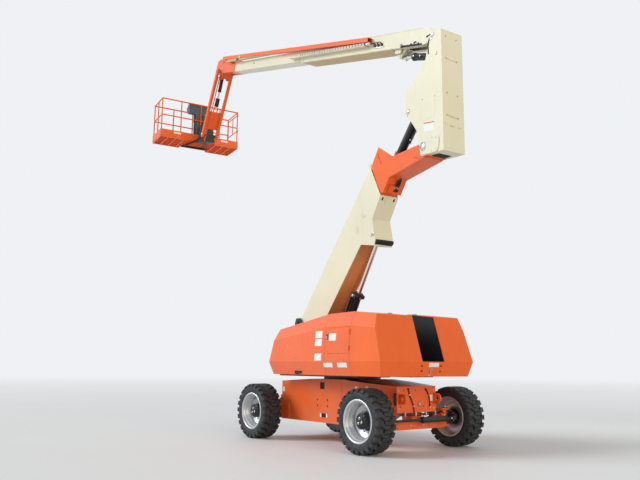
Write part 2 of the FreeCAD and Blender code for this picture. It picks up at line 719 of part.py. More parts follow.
def turntable():
    """Floor, two long side plates with raised ears, the tower's pin and hinge blocks."""
    floor_low = "deck_high + ring_high"
    plate_low = "body_crease + brow_high - hood_hinge_drop - 34"
    plate_high = "body_crease + roof_high - hood_hinge_drop - 34"
    floor = prism("turntable_floor", "xy", (
        ("-floor_front", "-floor_right"), ("weight_split - seam", "-floor_right"),
        ("weight_split - seam", "-slot_half"), ("floor_notch", "-slot_half"),
        ("floor_notch", "slot_half"), ("weight_split - seam", "slot_half"),
        ("weight_split - seam", "floor_left"), ("-floor_front", "floor_left"),
    ), floor_low, floor_low + " + floor_thick")
    pieces = [floor]
    for side_name, sign, way in SIDES:
        low, high = side_span(sign, "slot_half", "slot_half + frame_plate")
        pieces.append(prism("turntable_plate_" + side_name, "xz", (
            ("-floor_front", floor_low), ("-tower_pivot_back - 60", "tower_pivot_high - 560"),
            ("-tower_pivot_back - 110", "tower_pivot_high"),
            ("-tower_pivot_back - 60", "tower_pivot_high + 90"),
            ("-tower_pivot_back + 90", "tower_pivot_high + 90"),
            ("-body_front - 40", "tower_pivot_high - 150"),
            ("-body_front + brow_back", plate_low), ("hood_split + 8", plate_high),
            ("hood_split + 8", "body_crease + roof_high - 4"),
            ("weight_split - seat_gap", "body_crease + roof_high - 4"),
            ("weight_split - seat_gap", floor_low),
        ), low, high))
        blocks = []
        for number, start in enumerate(HINGE_STARTS):
            reach = side_span(sign, "slot_half + frame_plate - hood_hinge - 1", "hinge_radius - 2")
            for end, at in (("a", start - 26), ("b", start + BARREL_LONG + 1)):
                blocks.append(box("hinge_block_%s_%d_%s" % (side_name, number, end),
                                  (at, at + 25), reach, ("-60", "hinge_radius - 4")))
            blocks.append(cylinder("hinge_pin_%s_%d" % (side_name, number), "x", "hinge_pin",
                                   start - 26, start + BARREL_LONG + 26, ("0", "0")))
        pieces.append(moved("hinge_blocks_" + side_name, hinge_frame(way), *blocks))
    pieces.append(cylinder("tower_pivot_pin", "y", "pin_radius", "-slot_half - frame_plate - 15",
                           "slot_half + frame_plate + 15",
                           ("-tower_pivot_back", "tower_pivot_high")))
    pieces.append(cylinder("tower_foot_pin", "y", "pin_radius", "-slot_half - 5", "slot_half + 5",
                           ("-tower_foot_ahead", "tower_foot_high")))
    for side_name, sign, way in SIDES:
        low, high = side_span(sign, "tower_half + pin_gap", "slot_half + 1")
        pieces.append(cylinder("tower_pivot_boss_" + side_name, "y", "boss_radius - 10", low, high,
                               ("-tower_pivot_back", "tower_pivot_high")))
    return node(fuse("turntable_body", *pieces), "turntable_frame", turntable_frame)


def body_hull(tag, inset):
    """The faceted outer form of covers and counterweight, moved inwards by an inset."""
    profile = prism("body_profile_" + tag, "xz", (
        ("-body_front + 93 + " + inset, "body_bottom - 2 * " + inset),
        ("-body_front + " + inset, "body_crease"),
        ("-body_front + 138 + " + inset, "body_crease + 398"),
        ("-body_front + brow_back + " + inset, "body_crease + brow_high - " + inset),
        ("hood_split", "body_crease + roof_high - " + inset),
        ("weight_split - 38", "body_crease + roof_high - " + inset),
        ("body_tail - 239", "body_crease + roof_high - 75 - " + inset),
        ("body_tail - " + inset, "body_crease"),
        ("body_tail - 74 - " + inset, "body_bottom - 2 * " + inset),
    ), "-body_right - 10", "body_left + 10")
    sections = []
    for number, (x, rise) in enumerate((
        ("-body_front - 10", 384), ("hood_split", 570), ("weight_split - 38", 575),
        ("body_tail + 10", 480),
    )):
        crease = "body_crease + %d" % rise
        sections.append(outline("body_section_%s_%d" % (tag, number), "yz", (
            ("-body_right + 60 + " + inset, "body_bottom - 10 - 2 * " + inset),
            ("-body_right + " + inset, "body_crease"),
            ("-body_right + %.2f + %s" % (rise * 0.07, inset), crease),
            ("-body_right + %.2f + %s" % (rise * 0.07 + 101, inset), crease + " + 250"),
            ("body_left - %.2f - %s" % (rise * 0.063 + 68, inset), crease + " + 250"),
            ("body_left - %.2f - %s" % (rise * 0.063, inset), crease),
            ("body_left - " + inset, "body_crease"),
            ("body_left - 60 - " + inset, "body_bottom - 10 - 2 * " + inset),
        ), x))
    loft = doc.addObject("Part::Loft", "body_loft_" + tag)
    loft.Sections = sections
    loft.Solid = True
    loft.Ruled = True
    return common("body_hull_" + tag, profile, loft)


def body_shell():
    """The covers' skin, open underneath."""
    return cut("body_shell", body_hull("outer", "0"), body_hull("inner", "body_shell"))


def hood(shell, side_name, sign, way):
    """Front part of a cover with two hinge barrels along the slot."""
    low, high = side_span(sign, "hood_edge", "body_right + 20")
    region = box("hood_region_" + side_name, ("-body_front - 20", "hood_split - seam / 2"),
                 (low, high), ("body_bottom - 5", "body_crease + roof_high + 20"))
    skin = common("hood_skin_" + side_name, shell, region)
    barrels = []
    bores = []
    for number, start in enumerate(HINGE_STARTS):
        tag = "%s_%d" % (side_name, number)
        barrels.append(cylinder("hinge_barrel_" + tag, "x", "hinge_radius", start,
                                start + BARREL_LONG, ("0", "0")))
        barrels.append(box("hinge_leaf_" + tag, (start, start + BARREL_LONG),
                           side_span(sign, "0", "hood_edge - hood_hinge + 12"),
                           ("-3", "hood_hinge_drop - 4")))
        bores.append(cylinder("hinge_bore_" + tag, "x", "hinge_pin + pin_gap", start - 5,
                              start + BARREL_LONG + 5, ("0", "0")))
    leaves = moved("hinge_leaves_" + side_name, hinge_frame(way), *barrels)
    holes = moved("hinge_bores_" + side_name, hinge_frame(way), *bores)
    body = fuse("hood_solid_" + side_name, skin, leaves)
    return node(cut("hood_cut_" + side_name, body, holes), "hood_" + side_name, turntable_frame)


def door_frame():
    """At the control door's lower rear corner on the cover: +X back, -Y outwards, +Z up the cover."""
    lean = math.degrees(math.atan(0.07))
    return FreeCAD.Placement(
        V(size("door_rear"), -size("body_right") + 0.07 * size("door_low"),
          size("body_crease") + size("door_low")),
        FreeCAD.Rotation(V(1, 0, 0), -lean),
    )


# Where each barrel of the door's hinge starts up the door
DOOR_STARTS = (50, size("door_high") - 110)
DOOR_BARREL = 60


def side_covers(shell):
    """Covers between hoods and counterweight, with an opening and hinge lugs for the door."""
    covers = []
    for side_name, sign, way in SIDES:
        low, high = side_span(sign, "slot_half + frame_plate + seat_gap", "body_right + 20")
        region = box("cover_region_" + side_name, ("hood_split + seam / 2", "weight_split - seam"),
                     (low, high), ("body_bottom - 5", "body_crease + roof_high + 20"))
        covers.append(common("cover_skin_" + side_name, shell, region))
    opening = box("door_opening", ("-door_long - seam / 2", "seam / 2"), ("-30", "60"),
                  ("-seam / 2", "door_high + seam / 2"))
    right = cut("cover_open_right", covers[0], moved("door_hole", door_frame(), opening))
    lugs = []
    for number, start in enumerate(DOOR_STARTS):
        for end, at in (("a", start - 13), ("b", start + DOOR_BARREL + 1)):
            lugs.append(box("door_lug_%d_%s" % (number, end), (0, 16), (-14, -1.5), (at, at + 12)))
        lugs.append(box("door_lug_root_%d" % number, (11, 16), (-14, 2),
                        (start - 13, start + DOOR_BARREL + 13)))
        lugs.append(cylinder("door_pin_%d" % number, "z", "4", start - 13,
                             start + DOOR_BARREL + 13, ("3", "-8")))
    right = fuse("cover_right_solid", right, moved("door_lugs", door_frame(), *lugs))
    return node(group("side_covers_both", right, covers[1]), "side_covers", turntable_frame)


def control_door():
    """Flat door in the right cover, hinged at its rear edge."""
    pieces = [box("door_plate", ("-door_long", "-0"), ("0", "body_shell"), ("0", "door_high"))]
    bores = []
    for number, start in enumerate(DOOR_STARTS):
        pieces.append(cylinder("door_barrel_%d" % number, "z", "7.5", start, start + DOOR_BARREL,
                               ("3", "-8")))
        pieces.append(box("door_leaf_%d" % number, ("-30", "3"), ("-8", "2"),
                          (start, start + DOOR_BARREL)))
        bores.append(cylinder("door_bore_%d" % number, "z", "4 + pin_gap", start - 5,
                              start + DOOR_BARREL + 5, ("3", "-8")))
    clear = box("door_edge_cut", ("-0.01", "20"), ("-0.4", "30"), ("-5", "door_high + 5"))
    body = fuse("door_solid", *pieces)
    item = cut("door_cut", body, clear, *bores)
    return node(item, "control_door", turntable_frame.multiply(door_frame()))


def counterweight():
    """Solid casting behind the covers, slotted for the tower."""
    region = box("weight_region", ("weight_split", "body_tail + 20"), both("body_right + 20"),
                 ("body_bottom", "body_crease + roof_high + 20"))
    slot = box("weight_slot", ("weight_split - 10", "body_tail + 30"), both("slot_half"),
               ("body_crease", "body_crease + roof_high + 30"))
    body = common("weight_body", body_hull("weight", "0"), region)
    return node(cut("weight_cut", body, slot), "counterweight", turntable_frame)


def engine():
    """Engine and hydraulic pump as one block in the left compartment."""
    low = "deck_high + ring_high + floor_thick + seat_gap"
    body = prism("engine_block", "xz", (
        ("-engine_front", low), ("engine_rear", low), ("engine_rear", low + " + engine_high - 200"),
        ("engine_rear - 300", low + " + engine_high"), ("-engine_front + 250", low + " + engine_high"),
        ("-engine_front", low + " + engine_high - 220"),
    ), "slot_half + frame_plate + 60", "floor_left - 40")
    return node(group("engine_body", body), "engine", turntable_frame)


def tank():
    """Fuel and oil tank in the right compartment."""
    low = "deck_high + ring_high + floor_thick + seat_gap"
    body = prism("tank_block", "yz", (
        ("-floor_right + 60", low), ("-slot_half - frame_plate - 60", low),
        ("-slot_half - frame_plate - 60", low + " + tank_high"),
        ("-floor_right + 140", low + " + tank_high"), ("-floor_right + 60", low + " + tank_high - 100"),
    ), "-tank_front", "tank_rear")
    return node(group("tank_body", body), "tank", turntable_frame)


# Lifting cylinders

def barrel(label, frame, radius, rod, pin, half, long, start):
    """Cylinder barrel along +X with an eye at the origin and a bore from start to its head."""
    eye = cylinder(label + "_eye", "y", pin + " + 27", both(half)[0], half, ("0", "0"))
    neck = cylinder(label + "_neck", "x", radius + " - 22", "0", start, ("0", "0"))
    body = cylinder(label + "_body", "x", radius, start - 15, long, ("0", "0"))
    gland = cylinder(label + "_gland", "x", radius + " + 6", long - 45, long, ("0", "0"))
    bore = cylinder(label + "_bore", "x", rod + " + pin_gap", start, long + 10, ("0", "0"))
    hole = cylinder(label + "_hole", "y", pin + " + pin_gap", "-" + half + " - 5", half + " + 5",
                    ("0", "0"))
    return node(cut(label + "_cut", fuse(label + "_solid", eye, neck, body, gland), bore, hole),
                label, frame)


def rod(label, frame, radius, pin, half, long, reach):
    """Cylinder rod along +X that ends in an eye at reach."""
    body = cylinder(label + "_body", "x", radius, reach - long, "%.6f - (%s) - 5" % (reach, pin),
                    ("0", "0"))
    eye = cylinder(label + "_eye", "y", pin + " + 17", both(half)[0], half, (reach, "0"))
    hole = cylinder(label + "_hole", "y", pin + " + 1", "-" + half + " - 5", half + " + 5",
                    (reach, "0"))
    return node(cut(label + "_cut", fuse(label + "_solid", body, eye), hole), label, frame)


# Name, frame of the parent, foot, eye, barrel radius, rod radius, foot pin, foot half width,
# eye pin, eye half width, barrel length, where its bore starts, rod length
RAMS = (
    ("tower", turntable_frame, TOWER_FOOT, TOWER_EYE, "tower_barrel_radius", "tower_rod_radius",
     "pin_radius", "60", "eye_pin", "40", 1578, 100, 1630),
    ("level", upright_frame, LEVEL_FOOT, LEVEL_EYE, "level_barrel_radius", "level_rod_radius",
     "33", "60", "25", "36", 1080, 82, 1079),
    ("boom", upright_frame, BOOM_FOOT, BOOM_EYE, "boom_barrel_radius", "boom_rod_radius",
     "boom_pin", "55", "25", "34", 850, 80, 1008),
    ("jib", knuckle_frame, JIB_FOOT, JIB_EYE, "jib_barrel_radius", "jib_rod_radius",
     "22", "45", "20", "22", 620, 62, 560),
)


def rams():
    """Barrel and rod of each lifting cylinder."""
    for (name, frame, foot, eye, barrel_radius, rod_radius, foot_pin, foot_half,
         eye_pin, eye_half, long, start, rod_long) in RAMS:
        line = aim(frame, foot, eye)
        barrel(name + "_barrel", line, barrel_radius, rod_radius, foot_pin, foot_half, long, start)
        rod(name + "_rod", line, rod_radius, eye_pin, eye_half, rod_long, gap(foot, eye))


def stubs(name, radius, inner, outer, x, z):
    """A pin in two short pieces with room between them for a drifting rod eye."""
    pieces = []
    for side_name, sign, way in SIDES:
        low, high = side_span(sign, inner, outer)
        pieces.append(cylinder(name + "_" + side_name, "y", radius, low, high, (x, z)))
    return pieces


# Tower

def tower_base():
    """Outer tower: side plates, closed top, recessed floor and the bulge round the cylinder pin."""
    body = prism("tower_side", "xz", (
        (-50, 0), ("tower_long", 0), ("tower_long - 220", "-tower_deep + 100"),
        ("tower_eye_out + 241", "-tower_eye_down + 161"), ("tower_eye_out + 16", "-tower_eye_down - 165"),
        ("tower_eye_out - 82", "-tower_eye_down - 209"), ("tower_eye_out - 301", "-tower_deep"),
        (250, "-tower_deep"), (-80, -45),
    ), *both("tower_half"))
    boss = cylinder("tower_boss", "y", "boss_radius", *both("tower_half"), ("0", "0"))
    ear = cylinder("tower_ear", "y", "45", *both("tower_half"), ("tower_long + 30", "40"))
    ear_foot = prism("tower_ear_foot", "xz", (
        ("tower_long - 70", -30), ("tower_long - 8", -30), ("tower_long + 70", 20),
        ("tower_long", 80),
    ), *both("tower_half"))
    inner = "tower_half - tower_wall"
    cavity = prism("tower_cavity", "xz", (
        (120, "-tower_wall"), ("tower_long + 200", "-tower_wall"),
        ("tower_long + 200", "-tower_floor + tower_wall"), (120, "-tower_floor + tower_wall"),
    ), *both(inner))
    mouth = prism("tower_ear_slot", "xz", (
        ("tower_long - 80", -40), ("tower_long + 200", -40), ("tower_long + 200", 160),
        ("tower_long - 80", 160),
    ), *both(inner))
    channel = prism("tower_channel", "xz", (
        (260, "-tower_floor"), ("tower_eye_out + 227", "-tower_floor"),
        ("tower_eye_out + 227", "-tower_eye_down + 171"), ("tower_eye_out + 8", "-tower_eye_down - 158"),
        ("tower_eye_out - 90", "-tower_eye_down - 203"),
        ("tower_eye_out - 223", "-tower_eye_down - 285"), ("tower_eye_out - 393", "-tower_deep - 20"),
        (260, "-tower_deep - 20"),
    ), *both(inner))
    hole = cylinder("tower_pivot_hole", "y", "pin_radius + pin_gap", *both("tower_half + 5"), ("0", "0"))
    shell = cut("tower_shell", fuse("tower_solid", body, boss, ear, ear_foot),
                cavity, mouth, channel, hole)
    pads = [
        box("tower_pad_top", ("tower_long - 340", "tower_long - 240"), (-120, 120),
            ("-fly_top + pad_gap", "-tower_wall + 1")),
        box("tower_pad_bottom", ("tower_long - 340", "tower_long - 240"), (-120, 120),
            ("-tower_floor + tower_wall - 1", "-fly_bottom - pad_gap")),
    ]
    pins = stubs("tower_eye_stub", "eye_pin", "tower_rod_radius + stub_gap", "tower_half + 12",
                 "tower_eye_out", "-tower_eye_down")
    return node(fuse("tower_base_body", shell, *(pads + pins)), "tower_base", tower_frame)


def tower_fly():
    """Inner tower tube and the gooseneck that carries the upright."""
    tube = prism("fly_side", "xz", (
        ("fly_tail", "-fly_top"), ("tower_long + 140", "-fly_top"), ("tower_long + 140", "-fly_bottom"),
        ("fly_tail", "-fly_bottom"),
    ), *both("fly_half"))
    neck = prism("gooseneck_side", "xz", (
        ("tower_long + 116", 2), ("elbow_out - 599", 40), ("elbow_out - 531", "-elbow_down + 670"),
        ("elbow_out - 23", "-elbow_down + 146"), ("elbow_out + boss_radius", "-elbow_down"),
        ("elbow_out", "-elbow_down - boss_radius"), ("elbow_out - 143", "-elbow_down - boss_radius"),
        ("tower_long + 139", "-tower_floor - 2"), ("tower_long - 150", "-tower_floor - 30"),
        ("tower_long - 163", "-tower_floor + 107"), ("tower_long + 30", "-fly_top"),
    ), *both("tower_half"))
    boss = cylinder("gooseneck_boss", "y", "boss_radius", *both("tower_half"),
                    ("elbow_out", "-elbow_down"))
    tube_hollow = prism("fly_hollow", "xz", (
        ("fly_tail - 10", "-fly_top - fly_wall"), ("tower_long + 104", "-fly_top - fly_wall"),
        ("tower_long + 104", 100), ("elbow_out + 300", 100), ("elbow_out + 300", "-elbow_down - 250"),
        ("elbow_out - 130", "-elbow_down - boss_radius + 14"),
        ("tower_long + 133", "-fly_bottom - 8"), ("tower_long - 60", "-fly_bottom + fly_wall"),
        ("fly_tail - 10", "-fly_bottom + fly_wall"),
    ), *both("fly_half - fly_wall"))
    neck_hollow = prism("gooseneck_hollow", "xz", (
        ("tower_long + 160", 100), ("elbow_out + 300", 100), ("elbow_out + 300", "-elbow_down - 250"),
        ("elbow_out - 126", "-elbow_down - boss_radius + 14"), ("tower_long + 160", "-fly_bottom - 30"),
    ), *both("tower_half - 14"))
    hole = cylinder("elbow_hole", "y", "pin_radius + pin_gap", *both("tower_half + 5"),
                    ("elbow_out", "-elbow_down"))
    shell = cut("fly_shell", fuse("fly_solid", tube, neck, boss), tube_hollow, neck_hollow, hole)
    pads = [
        box("fly_pad_top", ("fly_tail", "fly_tail + 100"), (-120, 120),
            ("-fly_top - 1", "-tower_wall - pad_gap")),
        box("fly_pad_bottom", ("fly_tail", "fly_tail + 100"), (-120, 120),
            ("-tower_floor + tower_wall + pad_gap", "-fly_bottom + 1")),
    ]
    pins = stubs("level_eye_stub", "25", "level_rod_radius + stub_gap", "fly_half - 1",
                 "level_eye_out", "-level_eye_down")
    return node(fuse("tower_fly_body", shell, *(pads + pins)), "tower_fly", tower_frame)


def upright():
    """Two side plates, rear plate, cap and lower plate, with the pins of both booms."""
    body = prism("upright_side", "xz", (
        ("upright_rear", "boom_pivot_up + 17"), ("boom_pivot_back - 17", "boom_pivot_up + 61"),
        ("boom_pivot_back - 140", "boom_pivot_up - 191"), ("boom_pivot_back - 191", "boom_pivot_up - 363"),
        ("-level_foot_ahead - 65", "level_foot_up + 331"), ("-level_foot_ahead - 70", "level_foot_up - 28"),
        ("-level_foot_ahead + 55", "level_foot_up - 181"), (-249, 438), (-177, 333), (-124, 160),
        (-102, 0), (-91, -106), (-60, -140), (-8, -148), ("upright_rear - 15", -182),
    ), *both("upright_half"))
    hollow = prism("upright_hollow", "xz", (
        ("upright_rear - upright_plate", "boom_pivot_up + 5"), ("boom_pivot_back + 99", "boom_pivot_up + 14"),
        ("boom_pivot_back + 99", "boom_pivot_up + 200"), ("-level_foot_ahead - 200", "boom_pivot_up + 200"),
        ("-level_foot_ahead - 200", -300), (120, -300), (120, -145),
        ("upright_rear - upright_plate - 12", -169), ("upright_rear - upright_plate", -120),
    ), *both("upright_half - upright_plate"))
    pieces = [cut("upright_shell", body, hollow)]
    for name, radius, x, z in (
        ("elbow", "pin_radius", "0", "0"),
        ("boom_pivot", "boom_pin", "boom_pivot_back", "boom_pivot_up"),
        ("level_foot", "33", "-level_foot_ahead", "level_foot_up"),
        ("boom_foot", "boom_pin", "boom_foot_back", "boom_foot_up"),
    ):
        pieces.append(cylinder(name + "_pin", "y", radius, *both("upright_half + 12"), (x, z)))
    for side_name, sign, way in SIDES:
        low, high = side_span(sign, "tower_half + pin_gap", "upright_half")
        pieces.append(cylinder("elbow_boss_" + side_name, "y", "boss_radius - 10", low, high, ("0", "0")))
    return node(fuse("upright_body", *pieces), "upright", upright_frame)


# Main boom

def boom_base():
    """Outer boom with tall cheeks at its root and two lugs for the cylinder."""
    body = prism("boom_side", "xz", (
        (-30, -50), (-30, 50), (200, 145), (300, "boom_top"), ("tray_out + 30", "boom_top + 5"),
        ("tray_out + 60", "boom_top"), ("boom_long", "boom_top"), ("boom_long", "-boom_bottom"),
        (300, "-boom_bottom"), (60, -90),
    ), *both("boom_half"))
    boss = cylinder("boom_boss_round", "y", "boom_boss", *both("upright_half - upright_plate - pin_gap"),
                    ("0", "0"))
    hollow = prism("boom_hollow", "xz", (
        (140, -70), (140, 70), (300, "boom_top - boom_wall"),
        ("boom_long + 10", "boom_top - boom_wall"), ("boom_long + 10", "-boom_bottom + boom_wall"),
        (300, "-boom_bottom + boom_wall"),
    ), *both("boom_half - boom_wall"))
    hole = cylinder("boom_pivot_hole", "y", "boom_pin + pin_gap", *both("upright_half"), ("0", "0"))
    # The lifting cylinder swings into this slot when the boom stands steep
    slot = box("boom_slot", (-60, "boom_eye_out - 180"), both("boom_barrel_radius + 14"),
               ("-boom_bottom - 20", "-boom_pin - 8"))
    lugs = []
    for side_name, sign, way in SIDES:
        low, high = side_span(sign, "boom_barrel_radius + 6", "boom_barrel_radius + 26")
        lugs.append(prism("boom_lug_" + side_name, "xz", (
            ("boom_eye_out - 170", "-boom_bottom + 1"), ("boom_eye_out - 45", "-boom_eye_down - 30"),
            ("boom_eye_out", "-boom_eye_down - 52"), ("boom_eye_out + 45", "-boom_eye_down - 30"),
            ("boom_eye_out + 130", "-boom_bottom + 1"),
        ), low, high))
    pads = [
        box("boom_pad_top", ("boom_long - 160", "boom_long - 60"), (-110, 110),
            ("boom_fly_top + pad_gap", "boom_top - boom_wall + 1")),
        box("boom_pad_bottom", ("boom_long - 160", "boom_long - 60"), (-110, 110),
            ("-boom_bottom + boom_wall - 1", "-boom_fly_bottom - pad_gap")),
    ]
    pins = stubs("boom_eye_stub", "25", "boom_rod_radius + stub_gap", "boom_barrel_radius + 34",
                 "boom_eye_out", "-boom_eye_down")
    shell = cut("boom_shell", fuse("boom_solid", body, boss), hollow, hole, slot)
    return node(fuse("boom_base_body", shell, *(lugs + pads + pins)), "boom_base", boom_frame)


def cable_tray():
    """Tray on the boom's right side with the folded power track lying in it."""
    # Local +Y of the boom frame is the machine's right side
    tray = box("tray_plate", ("tray_out", "tray_end"), ("boom_half + seat_gap", "tube_side + tube_wide"),
               ("-26", "-18"))
    lip = box("tray_lip", ("tray_out", "tray_end"), ("boom_half + seat_gap", "boom_half + 6"),
              ("-26", "8"))
    return node(fuse("cable_tray_body", tray, lip), "cable_tray", boom_frame)


def power_track():
    """Folded chain of links from the tray to the push tube."""
    links = []
    pitch = 105
    count = int((size("tray_end") - size("tray_out") - 350) / pitch)
    for number in range(count):
        start = "tray_out + %d" % (40 + number * pitch)
        links.append(box("track_link_%d" % number, (start, start + " + 78"),
                         ("tube_side + 8", "tube_side + tube_wide - 6"), ("-18 + seat_gap", "30")))
    strip = box("track_strip", ("tray_out + 40", "tray_out + %d" % (40 + count * pitch - 27)),
                ("tube_side + 16", "tube_side + tube_wide - 14"), ("-10", "22"))
    return node(fuse("power_track_body", strip, *links), "power_track", boom_frame)


def boom_fly():
    """Inner boom tube with wear pads at its tail."""
    body = box("boom_fly_tube", ("boom_fly_tail", "boom_fly_end"), both("boom_fly_half"),
               ("-boom_fly_bottom", "boom_fly_top"))
    hollow = box("boom_fly_hollow", ("boom_fly_tail - 10", "boom_fly_end + 10"),
                 both("boom_fly_half - boom_fly_wall"),
                 ("-boom_fly_bottom + boom_fly_wall", "boom_fly_top - boom_fly_wall"))
    pads = [
        box("boom_fly_pad_top", ("boom_fly_tail", "boom_fly_tail + 100"), (-110, 110),
            ("boom_fly_top - 1", "boom_top - boom_wall - pad_gap")),
        box("boom_fly_pad_bottom", ("boom_fly_tail", "boom_fly_tail + 100"), (-110, 110),
            ("-boom_bottom + boom_wall + pad_gap", "-boom_fly_bottom + 1")),
    ]
    shell = cut("boom_fly_shell", body, hollow)
    return node(fuse("boom_fly_body", shell, *pads), "boom_fly", boom_frame)


def boom_head():
    """Block at the inner boom's end that forks round the jib knuckle."""
    body = prism("head_side", "xz", (
        ("boom_fly_end + seat_gap", "-boom_fly_bottom"), ("boom_fly_end + seat_gap", "boom_fly_top + 15"),
        ("boom_fly_end + 330", 300), ("boom_fly_end + 700", 300), ("head_out - 40", 150),
        ("head_out + 75", 90), ("head_out + 85", -20), ("head_out + 30", -75),
        ("head_out - 300", "-boom_fly_bottom"),
    ), *both("head_half"))
    fork = prism("head_fork", "xz", (
        ("head_out - 470", -200), ("head_out - 470", 60), ("head_out - 300", 400),
        ("head_out + 200", 400), ("head_out + 200", -200),
    ), *both("cheek_half + 5"))
    hollow = prism("head_hollow", "xz", (
        ("boom_fly_end + 40", "-boom_fly_bottom + 20"), ("boom_fly_end + 40", "boom_fly_top - 10"),
        ("boom_fly_end + 300", 270), ("head_out - 520", 270), ("head_out - 520", "-boom_fly_bottom + 20"),
    ), *both("head_half - 15"))
    plug = box("head_plug", ("boom_fly_end - 120", "boom_fly_end + 50"),
               both("boom_fly_half - boom_fly_wall - seat_gap"),
               ("-boom_fly_bottom + boom_fly_wall + seat_gap",
                "boom_fly_top - boom_fly_wall - seat_gap"))
    pin = cylinder("head_pin", "y", "knuckle_pin", *both("head_half + 8"), ("head_out", "head_up"))
    shell = cut("head_shell", body, fork, hollow)
    return node(fuse("boom_head_body", shell, plug, pin), "boom_head", boom_frame)


TUBE_START = (1826, 85)
TUBE_END = (9000, 290)


def push_tube():
    """Rectangular tube beside the boom that pushes the power track."""
    long = gap(TUBE_START, TUBE_END)
    body = box("push_tube_bar", (0, long), ("tube_side", "tube_side + tube_wide"),
               ("-tube_deep / 2", "tube_deep / 2"))
    hollow = box("push_tube_hollow", (-10, long - 20),
                 ("tube_side + tube_wall", "tube_side + tube_wide - tube_wall"),
                 ("-tube_deep / 2 + tube_wall", "tube_deep / 2 - tube_wall"))
    bracket = box("push_tube_bracket", (long - 330, long - 60),
                  ("head_half + seat_gap", "tube_side + tube_wall / 2"),
                  ("-tube_deep / 2 + 10", "tube_deep / 2 - 25"))
    item = fuse("push_tube_body", cut("push_tube_shell", body, hollow), bracket)
    return node(item, "push_tube", aim(boom_frame, TUBE_START, TUBE_END))


# Jib

def jib_knuckle():
    """Level block between the boom head and the jib, slotted for the jib cylinder."""
    body = prism("knuckle_side", "xz", (
        (-60, -50), (-60, 60), (60, 300), (200, 400), (380, 400), (508, 250), (470, 60),
        ("jib_pin_back + 70", -60), ("jib_pin_back + 50", "jib_pin_up - link_drop - 45"),
        ("jib_pin_back - 55", "jib_pin_up - link_drop - 40"), (40, -80),
    ), *both("cheek_half"))
    slot = box("knuckle_slot", (150, 600), both("cheek_slot"), (-300, 450))
    hole = cylinder("knuckle_pin_hole", "y", "knuckle_pin + pin_gap", *both("cheek_half + 5"),
                    ("0", "0"))
    pieces = [cut("knuckle_shell", body, slot, hole)]
    arm_in = "jib_half - jib_arm_thick / 2 - pin_gap"
    for side_name, sign, way in SIDES:
        low, high = side_span(sign, "cheek_half - 5", arm_in)
        pieces.append(cylinder("jib_pin_boss_" + side_name, "y", "knuckle_pin + 15", low, high,
                               ("jib_pin_back", "jib_pin_up")))
    pieces.append(cylinder("jib_pin_bar", "y", "knuckle_pin", *both("jib_half + jib_arm_thick / 2 + 8"),
                           ("jib_pin_back", "jib_pin_up")))
    pieces.append(cylinder("link_pin_top", "y", "18", *both("link_side + 20"),
                           ("jib_pin_back", "jib_pin_up - link_drop")))
    pieces.append(cylinder("jib_foot_pin", "y", "22", *both("cheek_half"),
                           ("jib_foot_out", "jib_foot_up")))
    return node(fuse("jib_knuckle_body", *pieces), "jib_knuckle", knuckle_frame)


def jib_arm():
    """Two arms joined by a cross plate, with lugs for the cylinder rod."""
    arm_in = "jib_half - jib_arm_thick / 2"
    arm_out = "jib_half + jib_arm_thick / 2"
    pieces = []
    for side_name, sign, way in SIDES:
        low, high = side_span(sign, arm_in, arm_out)
        bar = box("jib_bar_" + side_name, (0, "jib_long"), (low, high),
                  ("-jib_arm_deep / 2", "jib_arm_deep / 2"))
        rounds = [cylinder("jib_round_%s_%d" % (side_name, number), "y", "jib_boss", low, high, (x, 0))
                  for number, x in enumerate(("0", "jib_long"))]
        holes = [cylinder("jib_hole_%s_%d" % (side_name, number), "y", "knuckle_pin + pin_gap",
                          low + " - 5", high + " + 5", (x, 0))
                 for number, x in enumerate(("0", "jib_long"))]
        pieces.append(cut("jib_side_" + side_name, fuse("jib_solid_" + side_name, bar, *rounds), *holes))
    pieces.append(box("jib_cross_plate", ("jib_eye_out + 150", "jib_long - 190"), both(arm_in + " + 1"),
                      (0, 45)))
    pieces.append(cylinder("jib_cross_tube", "y", "26", *both(arm_in + " + 1"),
                           ("jib_eye_out + 120", "20")))
    for side_name, sign, way in SIDES:
        low, high = side_span(sign, "jib_rod_radius + stub_gap + 14", "jib_rod_radius + stub_gap + 30")
        pieces.append(prism("jib_eye_lug_" + side_name, "xz", (
            ("jib_eye_out - 40", "jib_eye_up - 34"), ("jib_eye_out - 40", "jib_eye_up + 34"),
            ("jib_eye_out + 140", "jib_eye_up + 10"), ("jib_eye_out + 140", "jib_eye_up - 30"),
        ), low, high))
    pieces += stubs("jib_eye_stub", "20", "jib_rod_radius + stub_gap", "jib_rod_radius + stub_gap + 34",
                    "jib_eye_out", "jib_eye_up")
    return node(fuse("jib_arm_body", *pieces), "jib_arm", jib_frame)


def jib_link():
    """Two level bars parallel to the jib."""
    bars = []
    for side_name, sign, way in SIDES:
        low, high = side_span(sign, "link_side - 8", "link_side + 8")
        bar = box("link_bar_" + side_name, (0, "jib_long"), (low, high), (-17, 17))
        rounds = [cylinder("link_round_%s_%d" % (side_name, number), "y", "30", low, high, (x, 0))
                  for number, x in enumerate(("0", "jib_long"))]
        holes = [cylinder("link_hole_%s_%d" % (side_name, number), "y", "18 + pin_gap",
                          low + " - 5", high + " + 5", (x, 0))
                 for number, x in enumerate(("0", "jib_long"))]
        bars.append(cut("link_side_" + side_name, fuse("link_solid_" + side_name, bar, *rounds), *holes))
    return node(group("jib_link_bars", *bars), "jib_link", link_frame())


def link_frame():
    """At the link's upper pin, along the jib."""
    return shifted(knuckle_frame, size("jib_pin_back"), 0, size("jib_pin_up") - size("link_drop"),
                   tilt(size("jib_angle")))


# Platform

